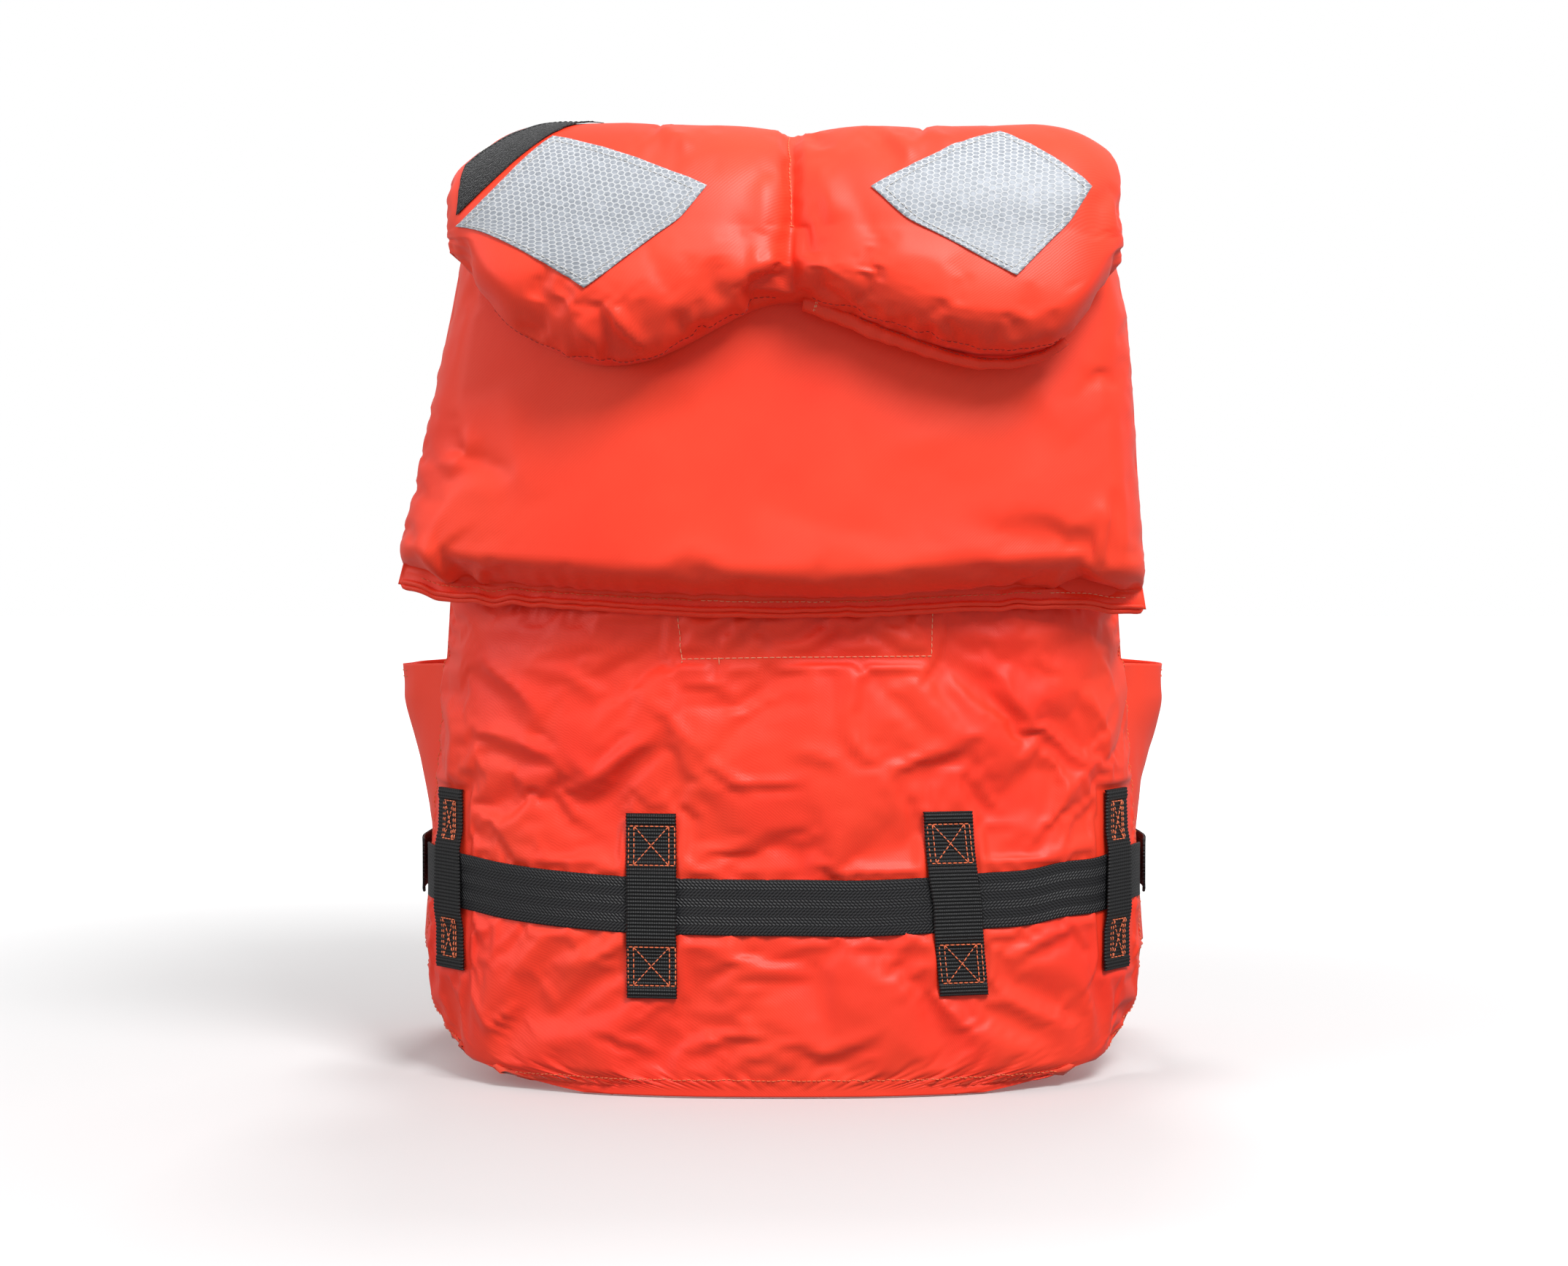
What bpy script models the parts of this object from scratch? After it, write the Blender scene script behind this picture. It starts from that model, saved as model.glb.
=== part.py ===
"""Adult offshore foam life jacket, standing on its hem.

Metres, +Z up. The back faces -Y, the front +Y, and the wearer's left is -X. The origin is on the floor
under the middle of the jacket. Each cover is a tray of fabric closed by a lining, with foam sheets between.
"""

import math

import bmesh
import bpy
from mathutils import Vector

# Girth of the jacket
WAIST = [(0.0, 0.240), (0.010, 0.240), (0.03, 0.2455), (0.05, 0.2515), (0.088, 0.2560), (0.14, 0.2527),
         (0.22, 0.2463), (0.29, 0.2415), (0.60, 0.2407)]
BACK_DEPTH = 0.135
BACK_BEND = 2.4
FRONT_DEPTH = 0.130
FRONT_WIDTH = 0.262
FRONT_BEND = 3.5
BACK_TOP_Z = 0.575
SLIT_Z = 0.088
ARMHOLE_Z = 0.286

# Cloth
SHELL = 0.0012
LINING = 0.0010
GAP = 0.00035
WEBBING = 0.0018
PATCH = 0.0006
PATCH_LIFT = 0.0020

# Back
LINING_IN = 0.0028
PATCH_BACKING = 0.0008
NAME_PATCH = (-0.072, 0.095, 0.270, 0.320)
NECK_BAND = (18, 0.548, 0.574)
NECK_BAND_IN = 0.0043

# Back flap
FLAP_BASE_Y = -0.140
FLAP_CURVE = 0.75
FLAP_TOP_Z = 0.600
FLAP_THICK = 0.045
FLAP_FLANGE = 0.014
FLAP_FLANGE_THICK = 0.0025
FLAP_FOAM_INNER = 0.018
FLAP_FOAM_OUTER = 0.019
WELT_RADIUS = 0.0042

# Head pillow
PILLOW_HALF = 0.216
PILLOW_CURVE = 0.25
PILLOW_THICK = 0.054
PILLOW_ROUND = 0.048
PILLOW_FOAM = 0.029
DART_X = 0.008
DART_HALF_WIDTH = 0.024
DART_DEPTH = 0.18
CASING_RADIUS = 0.0052
CASING_WALL = 0.0008

# Fronts
FRONT_THICK = 0.055
PATCH_SIDE = 0.1016
SHOULDER_THICK = 0.024
CHEST_Z = 0.42
SHOULDER_RADIUS = 0.15
FRONT_LENGTH = 0.579
FRONT_FOAM_INNER = 0.0165
FRONT_FOAM_OUTER = 0.029
REFLECTOR_X = 0.060
REFLECTOR_Z = 0.232
SIDE_PANEL_THICK = 0.0016
SHOULDER_X = (0.100, 0.186)
SHOULDER_CLOTH = 0.0025

# Belt and buckle
BELT_WIDTH = 0.038
BELT_Z = 0.127
BELT_SIDE_RISE = 0.015
BELT_END_ANGLE = 80.4
BELT_OFF = 0.0008
BACK_LOOP_WIDTH = 0.034
SIDE_LOOP_WIDTH = 0.030
FRONT_LOOP_X = (0.102, 0.134)
LOOP_LIFT = [(-0.062, 0.0014), (-0.032, 0.0014), (-0.0205, 0.0036), (0.0205, 0.0036), (0.032, 0.0014),
             (0.062, 0.0014)]
BUCKLE_Z = 0.142
BELT_FRONT_Y = 0.1895
FOLD_STEP = 0.0088
BAR_X = 0.058
MOUTH_X = -0.003

# Each front turns like a door about a line from the side seam's foot to the outer end of the shoulder
HINGE_FOOT = Vector((0.266, -0.024, 0.0))
HINGE_HEAD = Vector((0.220, -0.031, 0.578))
NECK_HINGE = Vector((0.0, -0.1385, 0.6035))
ARM_HINGE_X = 0.0335
ARM_OFFSET = 0.0135

# The pieces are laid out round the wearer; the whole jacket is then moved forward by this, to stand over the origin
CENTRE_Y = 0.0209

COLOURS = {
    "nylon_shell": ((0.86, 0.07, 0.03), 0.55),
    "nylon_lining": ((0.80, 0.10, 0.05), 0.70),
    "foam": ((0.85, 0.84, 0.78), 0.85),
    "webbing": ((0.02, 0.02, 0.022), 0.80),
    "reflective": ((0.52, 0.54, 0.56), 0.35),
    "loop_pile": ((0.025, 0.025, 0.027), 0.95),
    "acetal": ((0.015, 0.015, 0.016), 0.35),
}


def clear_scene():
    for obj in list(bpy.data.objects):
        bpy.data.objects.remove(obj)


def new_collection(name):
    made = bpy.data.collections.new(name)
    bpy.context.scene.collection.children.link(made)
    return made


def make_material(name):
    colour, roughness = COLOURS[name]
    made = bpy.data.materials.new(name)
    made.use_nodes = True
    shader = made.node_tree.nodes["Principled BSDF"]
    shader.inputs["Base Color"].default_value = (*colour, 1.0)
    shader.inputs["Roughness"].default_value = roughness
    return made


clear_scene()
JACKET = new_collection("life_jacket")
CUTTERS = new_collection("cutters")
MATERIALS = {name: make_material(name) for name in COLOURS}


# Helpers for cloth: grids laid on a surface, then given a thickness

def read_table(table, at):
    """Value at a place in a table of (place, value) pairs, straight between them."""
    for (low, first), (high, second) in zip(table, table[1:]):
        if at <= high:
            share = max(0.0, (at - low) / (high - low))
            return first + (second - first) * share
    return table[-1][1]


def ease(at, low, high):
    share = min(1.0, max(0.0, (at - low) / (high - low)))
    return share * share * (3 - 2 * share)


def quarter_round(distance, radius):
    """Height, from 0 to 1, of a rounded edge at a distance in from it."""
    left = 1 - min(max(distance, 0.0), radius) / radius
    return math.sqrt(1 - left * left)


def spaced(low, high, count):
    return [low + (high - low) * step / count for step in range(count + 1)]


def with_edges(length, edge, count, far_edge=None):
    """Shares of a length: the steps of a rounded edge at each end, and even steps between."""
    ends = [length - step for step in reversed(far_edge or edge)]
    middle = spaced(edge[-1], ends[0], count)[1:-1]
    return [place / length for place in (*edge, *middle, *ends)]


def normal_of(surface, u, v, sign):
    step = 0.002
    across = surface(min(u + step, 1), v) - surface(max(u - step, 0), v)
    along = surface(u, min(v + step, 1)) - surface(u, max(v - step, 0))
    return across.cross(along).normalized() * sign


def own(obj, material, frame):
    obj.data.materials.append(MATERIALS[material])
    if frame:
        obj.parent = frame
        obj.matrix_parent_inverse = frame.matrix_world.inverted()
    return obj


def lay(name, columns, rows, place, outward, material, frame, thick, grow=-1):
    """A grid laid by place(column, row), thickened away from (grow -1) or towards (grow 1) its outer side."""
    grid = bmesh.new()
    across, along = len(columns) - 1, len(rows) - 1
    bmesh.ops.create_grid(grid, x_segments=across, y_segments=along, size=1)
    for vert in grid.verts:
        column = round((vert.co.x + 1) / 2 * across)
        row = round((vert.co.y + 1) / 2 * along)
        vert.co = place(columns[column], rows[row])
    grid.normal_update()
    facing = sum((face.normal * face.calc_area() for face in grid.faces), Vector())
    if facing.dot(Vector(outward)) < 0:
        bmesh.ops.reverse_faces(grid, faces=grid.faces)
    mesh = bpy.data.meshes.new(name)
    grid.to_mesh(mesh)
    grid.free()
    mesh.shade_smooth()
    obj = bpy.data.objects.new(name, mesh)
    JACKET.objects.link(obj)
    solidify = obj.modifiers.new("thickness", "SOLIDIFY")
    solidify.thickness = thick
    solidify.offset = grow
    return own(obj, material, frame)


def raised(surface, sign, rise):
    """The surface lifted along its normal by rise(u, v)."""
    return lambda u, v: surface(u, v) + normal_of(surface, u, v, sign) * rise(u, v)


def add_frame(name, place, parent=None):
    made = bpy.data.objects.new(name, None)
    made.empty_display_size = 0.02
    JACKET.objects.link(made)
    made.location = place
    if parent:
        made.parent = parent
        made.matrix_parent_inverse = parent.matrix_world.inverted()
    bpy.context.view_layer.update()
    return made


FLAP_FRAME = add_frame("flap_hinge", NECK_HINGE)
PILLOW_FRAME = add_frame("pillow_hinge", NECK_HINGE, FLAP_FRAME)
SIDES = {"left": -1, "right": 1}
FRONT_FRAMES = {side: add_frame(f"front_hinge_{side}", Vector((sign * HINGE_FOOT.x, HINGE_FOOT.y, 0)))
                for side, sign in SIDES.items()}


# Lower back: shell, lining and the patch between them

BACK_EDGE = [(0.0, 30), (0.004, 38), (0.010, 51), (0.018, 63), (0.03, 73), (0.05, 80), (0.088, 82.6),
             (0.268, 82.6), (0.282, 81), (0.294, 78), (0.310, 76), (0.33, 74), (0.40, 66), (0.575, 60)]
BACK_ROWS = [0.0, 0.004, 0.010, 0.018, 0.03, 0.05, 0.088, 0.127, 0.17, 0.22, 0.268, 0.282, 0.294, 0.310, 0.33,
             0.40, 0.48, BACK_TOP_Z]


def torso(degrees, z, out=0.0):
    """Point of the back at an angle from its middle, moved out from it."""
    def point(angle):
        turn = math.radians(angle)
        side = math.copysign(abs(math.sin(turn)) ** (2 / BACK_BEND), math.sin(turn))
        depth = abs(math.cos(turn)) ** (2 / BACK_BEND)
        return Vector((read_table(WAIST, z) * side, -BACK_DEPTH * depth, z))
    ahead = point(degrees + 0.5) - point(degrees - 0.5)
    return point(degrees) + Vector((ahead.y, -ahead.x, 0)).normalized() * out


def angle_at(x, z):
    side = abs(x) / read_table(WAIST, z)
    return math.copysign(math.degrees(math.asin(min(1.0, side) ** (BACK_BEND / 2))), x)


def back_point(share, z, out=0.0, edge_in=0.0):
    edge = read_table(BACK_EDGE, z) - edge_in
    return torso(share * edge, z, out)


def make_back():
    columns = spaced(-1, 1, 20)
    lay("back_shell", columns, BACK_ROWS, lambda u, z: back_point(u, z), (0, -1, 0),
        "nylon_shell", None, SHELL)
    lay("back_lining", columns, BACK_ROWS, lambda u, z: back_point(u, z, -LINING_IN, 0.5), (0, -1, 0),
        "nylon_lining", None, LINING)
    left, right, low, high = NAME_PATCH
    lay("back_patch_inner", spaced(left, right, 6), spaced(low, high, 2),
        lambda x, z: torso(angle_at(x, z), z, -SHELL - GAP), (0, -1, 0), "nylon_lining", None, PATCH_BACKING)
    turn, low, high = NECK_BAND
    lay("neck_band", spaced(-turn, turn, 6), [low, high], lambda a, z: torso(a, z, -NECK_BAND_IN),
        (0, -1, 0), "webbing", None, WEBBING)


# Belt across the back and the four loops that hold it

def belt_height(degrees):
    return BELT_Z + BELT_SIDE_RISE * math.sin(math.radians(degrees)) ** 2


def make_back_belt():
    half = BELT_WIDTH / 2
    lay("belt_back", spaced(-BELT_END_ANGLE, BELT_END_ANGLE, 26), [-half, half],
        lambda a, z: torso(a, belt_height(a) + z, BELT_OFF), (0, -1, 0), "webbing", None, WEBBING, 1)
    make_loop("loop_back_left", -0.0885, 0.0, BACK_LOOP_WIDTH)
    make_loop("loop_back_right", 0.1150, -0.10, BACK_LOOP_WIDTH)
    make_loop("loop_side_left", -0.2300, 0.0, SIDE_LOOP_WIDTH)
    make_loop("loop_side_right", 0.2290, 0.0, SIDE_LOOP_WIDTH)


def make_loop(name, x, lean, width):
    """A flat strap over the belt, its two ends lying on the cloth."""
    middle = belt_height(angle_at(x, BELT_Z))

    def place(across, dz):
        z = middle + dz
        degrees = angle_at(x + lean * dz, z) + math.degrees(across / 0.2)
        return torso(degrees, z, read_table(LOOP_LIFT, dz))

    lay(name, spaced(-width / 2, width / 2, 3), [dz for dz, _ in LOOP_LIFT], place,
        (x, -0.05, 0), "webbing", None, WEBBING, 1)


# Back flap: a foam-filled panel that hangs from the neckline over the lower back

FLAP_LEFT = [(0.32, -0.2650), (0.343, -0.2625), (0.373, -0.2545), (0.403, -0.2450), (0.463, -0.2350), (0.522, -0.2220),
             (0.60, -0.206)]
FLAP_RIGHT = [(0.32, 0.2465), (0.343, 0.2425), (0.403, 0.2375), (0.463, 0.2335), (0.522, 0.2285), (0.60, 0.211)]
FLAP_HEM = [(0.0, 0.340), (0.2, 0.332), (0.5, 0.324), (0.8, 0.330), (1.0, 0.328)]
FLAP_WIDE = 0.49
FLAP_LONG = 0.27
FLAP_ROUND = 0.035


def flap_base(u, v):
    z = FLAP_TOP_Z - v * (FLAP_TOP_Z - read_table(FLAP_HEM, u))
    left, right = read_table(FLAP_LEFT, z), read_table(FLAP_RIGHT, z)
    x = left + (right - left) * u
    return Vector((x, FLAP_BASE_Y + FLAP_CURVE * x * x, z))


def flap_rise(u, v):
    side = quarter_round(min(u, 1 - u) * FLAP_WIDE, FLAP_ROUND)
    top = quarter_round(v * FLAP_LONG, FLAP_ROUND)
    hem = quarter_round((1 - v) * FLAP_LONG - FLAP_FLANGE, 0.030)
    return max(FLAP_FLANGE_THICK * (1 if v > 0.9 else 0), FLAP_THICK * side * top * hem)


def make_flap():
    edge = [0, 0.002, 0.008, 0.019, FLAP_ROUND]
    hem_edge = [0, 0.007, 0.0145, 0.0165, 0.023, 0.032, 0.046]
    columns = with_edges(FLAP_WIDE, edge, 8)
    rows = with_edges(FLAP_LONG, edge, 4, hem_edge)
    back = (0, -1, 0)
    lay("flap_shell", columns, rows, raised(flap_base, -1, flap_rise), back, "nylon_shell", FLAP_FRAME, SHELL)
    lay("flap_lining", spaced(0.008, 0.992, 10), spaced(0.008, 0.994, 6),
        raised(flap_base, -1, lambda u, v: -GAP), back, "nylon_lining", FLAP_FRAME, LINING)
    lay("flap_foam_inner", spaced(0.033, 0.967, 8), spaced(0.052, 0.888, 5),
        raised(flap_base, -1, lambda u, v: 0.0006), back, "foam", FLAP_FRAME, FLAP_FOAM_INNER, 1)
    lay("flap_foam_outer", spaced(0.058, 0.942, 8), spaced(0.095, 0.85, 5),
        raised(flap_base, -1, lambda u, v: 0.0191), back, "foam", FLAP_FRAME, FLAP_FOAM_OUTER, 1)
    hem = [flap_base(u, 1) + Vector((0, -0.001, -0.0052)) for u in spaced(0.004, 0.996, 16)]
    add_cord("flap_hem_welt", hem, WELT_RADIUS, "nylon_shell", FLAP_FRAME)


def add_cord(name, points, radius, material, frame, wall=None):
    """A round cord through the points, or a tube open at both ends when it has a wall."""
    curve = bpy.data.curves.new(name, "CURVE")
    curve.dimensions = "3D"
    curve.bevel_depth = radius
    curve.bevel_resolution = 2
    curve.use_fill_caps = wall is None
    spline = curve.splines.new("POLY")
    spline.points.add(len(points) - 1)
    for target, point in zip(spline.points, points):
        target.co = (*point, 1)
    obj = bpy.data.objects.new(name, curve)
    JACKET.objects.link(obj)
    if wall:
        solidify = obj.modifiers.new("wall", "SOLIDIFY")
        solidify.thickness = wall
        solidify.offset = -1
    return own(obj, material, frame)


# Head pillow: two lobes folded back from the neckline over the flap

PILLOW_START = (-0.1380, 0.6060)
PILLOW_FLAT = 0.016
PILLOW_TURN = 0.035
PILLOW_HEM = [(-0.216, 0.566), (-0.184, 0.519), (-0.168, 0.505), (-0.134, 0.486), (-0.101, 0.483), (-0.067, 0.494),
              (-0.034, 0.514), (0.0, 0.5275), (0.034, 0.519), (0.067, 0.506), (0.101, 0.494), (0.134, 0.488),
              (0.168, 0.493), (0.184, 0.5015), (0.216, 0.560)]
PILLOW_BEND = PILLOW_FLAT + PILLOW_TURN * math.pi / 2


def pillow_path(reach):
    """Point (y, z) at a distance from the neckline along the pillow's underside: level, round, then down."""
    y, z = PILLOW_START
    level = min(reach, PILLOW_FLAT)
    turn = min(max(reach - PILLOW_FLAT, 0) / PILLOW_TURN, math.pi / 2)
    down = max(reach - PILLOW_BEND, 0)
    y -= level + PILLOW_TURN * math.sin(turn)
    return y, z - PILLOW_TURN * (1 - math.cos(turn)) - down


def pillow_length(x):
    """Length of the underside from the neckline to the hem, whose outline is rounded off."""
    hem = sum(read_table(PILLOW_HEM, x + step) for step in (-0.018, -0.009, 0, 0.009, 0.018)) / 5
    return PILLOW_BEND + PILLOW_START[1] - PILLOW_TURN - hem


def pillow_at(x, reach):
    y, z = pillow_path(reach)
    return Vector((x, y + PILLOW_CURVE * x * x * ease(reach, 0, PILLOW_BEND), z))


def pillow_place(u, v):
    """Width and reach of a share: the first half of v goes round the bend, the second down to the hem."""
    x = (2 * u - 1) * PILLOW_HALF
    down = max(0.0, 2 * v - 1) * (pillow_length(x) - PILLOW_BEND)
    return x, min(2 * v, 1) * PILLOW_BEND + down


def pillow_base(u, v):
    return pillow_at(*pillow_place(u, v))


def pillow_rise(u, v):
    x, reach = pillow_place(u, v)
    side = quarter_round(PILLOW_HALF - abs(x), PILLOW_ROUND)
    top = quarter_round(reach, PILLOW_ROUND)
    hem = quarter_round(pillow_length(x) - reach, PILLOW_ROUND)
    dart = 1 - DART_DEPTH * math.exp(-((x - DART_X) / DART_HALF_WIDTH) ** 2)
    return PILLOW_THICK * side * top * hem * dart


def make_pillow():
    edge = [0, 0.002, 0.008, 0.018, 0.032, PILLOW_ROUND]
    columns = with_edges(2 * PILLOW_HALF, edge, 12)
    rows = [0, 0.012, 0.05, 0.10, 0.17, 0.25, 0.33, 0.41, 0.50, 0.60, 0.72, 0.83, 0.92, 0.98, 1]
    back = (0, -1, 0.3)
    outer = raised(pillow_base, -1, pillow_rise)
    lay("pillow_shell", columns, rows, outer, back, "nylon_shell", PILLOW_FRAME, SHELL)
    lay("pillow_lining", spaced(0.010, 0.990, 14), spaced(0.015, 0.980, 9),
        raised(pillow_base, -1, lambda u, v: -0.0006), back, "nylon_lining", PILLOW_FRAME, LINING)
    for side, low, high in (("left", 0.052, 0.480), ("right", 0.556, 0.948)):
        lay(f"pillow_foam_{side}", spaced(low, high, 6), spaced(0.14, 0.74, 7),
            raised(pillow_base, -1, lambda u, v: 0.0018), back, "foam", PILLOW_FRAME, PILLOW_FOAM, 1)
    make_patches(outer)
    casing = [pillow_at(x, pillow_length(x) + 0.0080) + Vector((0, -0.011, 0)) for x in spaced(0.014, 0.176, 14)]
    add_cord("pillow_casing", casing, CASING_RADIUS, "nylon_shell", PILLOW_FRAME, CASING_WALL)


def make_patches(outer):
    corners = {
        "pillow_reflector_left": [(-0.202, 0.574), (-0.142, 0.6300), (-0.048, 0.5940), (-0.120, 0.5290)],
        "pillow_reflector_right": [(0.054, 0.5930), (0.1355, 0.6320), (0.186, 0.5950), (0.140, 0.5370)],
    }
    for name, places in corners.items():
        lay_patch(name, outer, [shares_at(outer, x, z) for x, z in places], "reflective", 11)
    pile = [(-0.1960, 0.594), (-0.1960, 0.622), (-0.1500, 0.642), (-0.1620, 0.6260)]
    lay_patch("light_patch", outer, [shares_at(outer, x, z) for x, z in pile], "loop_pile", 6)


def shares_at(outer, x, z):
    """Where on the pillow a point at this width and height lies, on the side that faces out."""
    u = (x / PILLOW_HALF + 1) / 2
    rows = spaced(0.05, 0.97, 184)
    heights = [outer(u, v).z for v in rows]
    top = heights.index(max(heights))
    below = [v for v, height in zip(rows[top:], heights[top:]) if height <= z]
    return (u, below[0]) if below else (u, rows[top])


def lay_patch(name, outer, corners, material, count):
    first, second, third, fourth = (Vector(corner) for corner in corners)

    def place(s, t):
        u, v = first.lerp(fourth, t).lerp(second.lerp(third, t), s)
        return outer(u, v) + normal_of(outer, u, v, -1) * PATCH_LIFT

    lay(name, spaced(0, 1, count), spaced(0, 1, count), place, (0, -1, 0.5), material, PILLOW_FRAME, PATCH, 1)


# Fronts: a foam-filled panel each side, from the hem over the chest to the shoulder

FRONT_INNER = [(0.0, 0.006), (0.38, 0.006), (0.44, 0.022), (0.50, 0.062), (0.58, 0.088)]
FRONT_OUTER = [(0.0, 0.226), (0.02, 0.236), (0.06, 0.240), (0.24, 0.240), (0.29, 0.228), (0.33, 0.206),
               (0.37, 0.196), (0.46, 0.192), (0.58, 0.190)]
FRONT_ROWS = [0, 0.0015, 0.006, 0.014, 0.024, 0.036, 0.10, 0.17, 0.24, 0.29, 0.33, 0.37, 0.42, 0.45, 0.48, 0.51,
              0.54, 0.564, 0.573, 0.5775, FRONT_LENGTH]
FRONT_LEVEL = [(0.0, FRONT_THICK), (0.35, FRONT_THICK), (0.45, SHOULDER_THICK), (0.60, SHOULDER_THICK)]


def chest(x):
    return FRONT_DEPTH * (1 - (abs(x) / FRONT_WIDTH) ** FRONT_BEND) ** (1 / FRONT_BEND)


def front_base(sign):
    def surface(u, v):
        reach = v * FRONT_LENGTH
        low, high = read_table(FRONT_INNER, reach), read_table(FRONT_OUTER, reach)
        x = low + (high - low) * u
        turn = max(0.0, reach - CHEST_Z) / SHOULDER_RADIUS
        y = chest(x) - SHOULDER_RADIUS * (1 - math.cos(turn))
        z = min(reach, CHEST_Z) + SHOULDER_RADIUS * math.sin(turn)
        return Vector((sign * x, y, z))
    return surface


def front_rise(u, v):
    reach = v * FRONT_LENGTH
    wide = read_table(FRONT_OUTER, reach) - read_table(FRONT_INNER, reach)
    level = read_table(FRONT_LEVEL, reach)
    radius = level * 0.64
    side = quarter_round(min(u, 1 - u) * wide, radius)
    ends = quarter_round(reach, 0.035) * quarter_round(FRONT_LENGTH - reach, 0.015)
    return level * side * ends


def chest_point(outer, x, reach, turn):
    """Point just off the cover's face, at a width from the middle and a reach from the hem."""
    low, high = read_table(FRONT_INNER, reach), read_table(FRONT_OUTER, reach)
    u, v = (x - low) / (high - low), reach / FRONT_LENGTH
    return outer(u, v) + normal_of(outer, u, v, turn) * PATCH_LIFT


def make_front(side, sign):
    frame = FRONT_FRAMES[side]
    base = front_base(sign)
    turn = -sign
    outer = raised(base, turn, front_rise)
    ahead = (0, 1, 0.2)
    edge = [0, 0.0015, 0.006, 0.014, 0.024, 0.036]
    rows = [reach / FRONT_LENGTH for reach in FRONT_ROWS]
    lining_rows = [0.001, *rows[3:18], 0.997]
    foam_rows = [0.027, *rows[6:17], 0.965]
    lay(f"front_shell_{side}", with_edges(0.234, edge, 5), rows, outer, ahead, "nylon_shell", frame, SHELL)
    lay(f"front_lining_{side}", spaced(0.006, 0.994, 8), lining_rows,
        raised(base, turn, lambda u, v: -0.0008), ahead, "nylon_lining", frame, LINING)
    lay(f"front_foam_inner_{side}", spaced(0.09, 0.91, 6), foam_rows,
        raised(base, turn, lambda u, v: 0.0012), ahead, "foam", frame, FRONT_FOAM_INNER, 1)
    lay(f"front_foam_outer_{side}", spaced(0.125, 0.875, 6), spaced(0.062, 0.59, 8),
        raised(base, turn, lambda u, v: 0.0191), ahead, "foam", frame, FRONT_FOAM_OUTER, 1)
    lay(f"front_reflector_{side}", spaced(REFLECTOR_X, REFLECTOR_X + PATCH_SIDE, 5),
        spaced(REFLECTOR_Z, REFLECTOR_Z + PATCH_SIDE, 5),
        lambda x, reach: chest_point(outer, x, reach, turn), ahead, "reflective", frame, PATCH, 1)
    make_side_panel(side, sign, frame)
    make_shoulder(side, sign, frame)
    make_front_belt(side, sign, frame, outer)


def hinge_at(z):
    return HINGE_FOOT.lerp(HINGE_HEAD, z / HINGE_HEAD.z)


SIDE_BULGE = [(0.088, 0.013), (0.127, 0.0125), (0.165, 0.0135), (0.182, 0.021), (0.22, 0.047), (0.26, 0.073),
              (0.286, 0.0813)]


def side_curve(z, share):
    """Plan of the side panel, from the side seam round to the front panel's edge."""
    seam = hinge_at(z) + Vector((-0.0035, 0.0045, 0))
    x = read_table(FRONT_OUTER, z)
    edge = Vector((x + 0.0004, chest(x) - 0.0022, z))
    bulge = Vector((seam.x + read_table(SIDE_BULGE, z), 0.035, z))
    return seam.lerp(bulge, share).lerp(bulge.lerp(edge, share), share)


def make_side_panel(side, sign, frame):
    def place(share, z):
        x, y, z = side_curve(z, share)
        return Vector((sign * x, y, z))
    rows = [SLIT_Z, 0.127, 0.165, 0.182, 0.22, 0.26, ARMHOLE_Z]
    lay(f"side_panel_{side}", spaced(0, 1, 9), rows, place, (sign, 0, 0), "nylon_shell", frame,
        SIDE_PANEL_THICK)


def lap_height(x, y):
    """Height of the plane square to the front's hinge line, in which the shoulder ends lie on each other."""
    axis = (HINGE_HEAD - HINGE_FOOT).normalized()
    return HINGE_HEAD.z - (axis.x * (x - HINGE_HEAD.x) + axis.y * (y - HINGE_HEAD.y)) / axis.z


def make_shoulder(side, sign, frame):
    def tab(x, step):
        inner = torso(angle_at(x, 0.55), 0.55, -0.0062).y
        path = [(inner, 0.530), (inner, 0.552), (inner + 0.014, 0.566)]
        path += [(y, lap_height(x, y) - 0.0004) for y in (inner + 0.036, -0.040, -0.020, 0.010)]
        y, z = path[step]
        return Vector((sign * x, y, z))

    lay(f"shoulder_tab_{side}", spaced(*SHOULDER_X, 4), range(7), tab, (0, -0.5, 1), "nylon_shell", None,
        SHOULDER_CLOTH)

    def strap(x, y):
        droop = 0.0040 * ease(y, 0.012, 0.050)
        return Vector((sign * x, y, lap_height(x, y) + 0.0004 - droop))

    lay(f"shoulder_strap_{side}", spaced(*SHOULDER_X, 3), [-0.050, -0.01, 0.012, 0.032, 0.052, 0.066], strap,
        (0, 0, 1), "nylon_shell", frame, SHOULDER_CLOTH, 1)


# Belt across the fronts

def follow(points, out):
    """Points moved sideways off their own line, in plan."""
    moved = []
    for index, point in enumerate(points):
        before, after = points[max(index - 1, 0)], points[min(index + 1, len(points) - 1)]
        ahead = after - before
        moved.append(point + Vector((ahead.y, -ahead.x)).normalized() * out)
    return moved


def fold_round_bar():
    """The belt's doubled end, from under the buckle's bar round to its face."""
    centre = Vector((BAR_X, BELT_FRONT_Y + WEBBING / 2 + FOLD_STEP / 2))
    turns = [math.radians(angle) for angle in (-90, -125, -160, -200, -235, -270)]
    return [centre + Vector((math.cos(turn), math.sin(turn))) * FOLD_STEP / 2 for turn in turns]


def lay_belt(name, plan, sign, frame):
    def place(index, dz):
        point = plan[index]
        return Vector((sign * point.x, point.y, BUCKLE_Z + dz))
    half = BELT_WIDTH / 2
    lay(name, range(len(plan)), [-half, half], place, (sign, 1, 0), "webbing", frame, WEBBING, 0)


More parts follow.
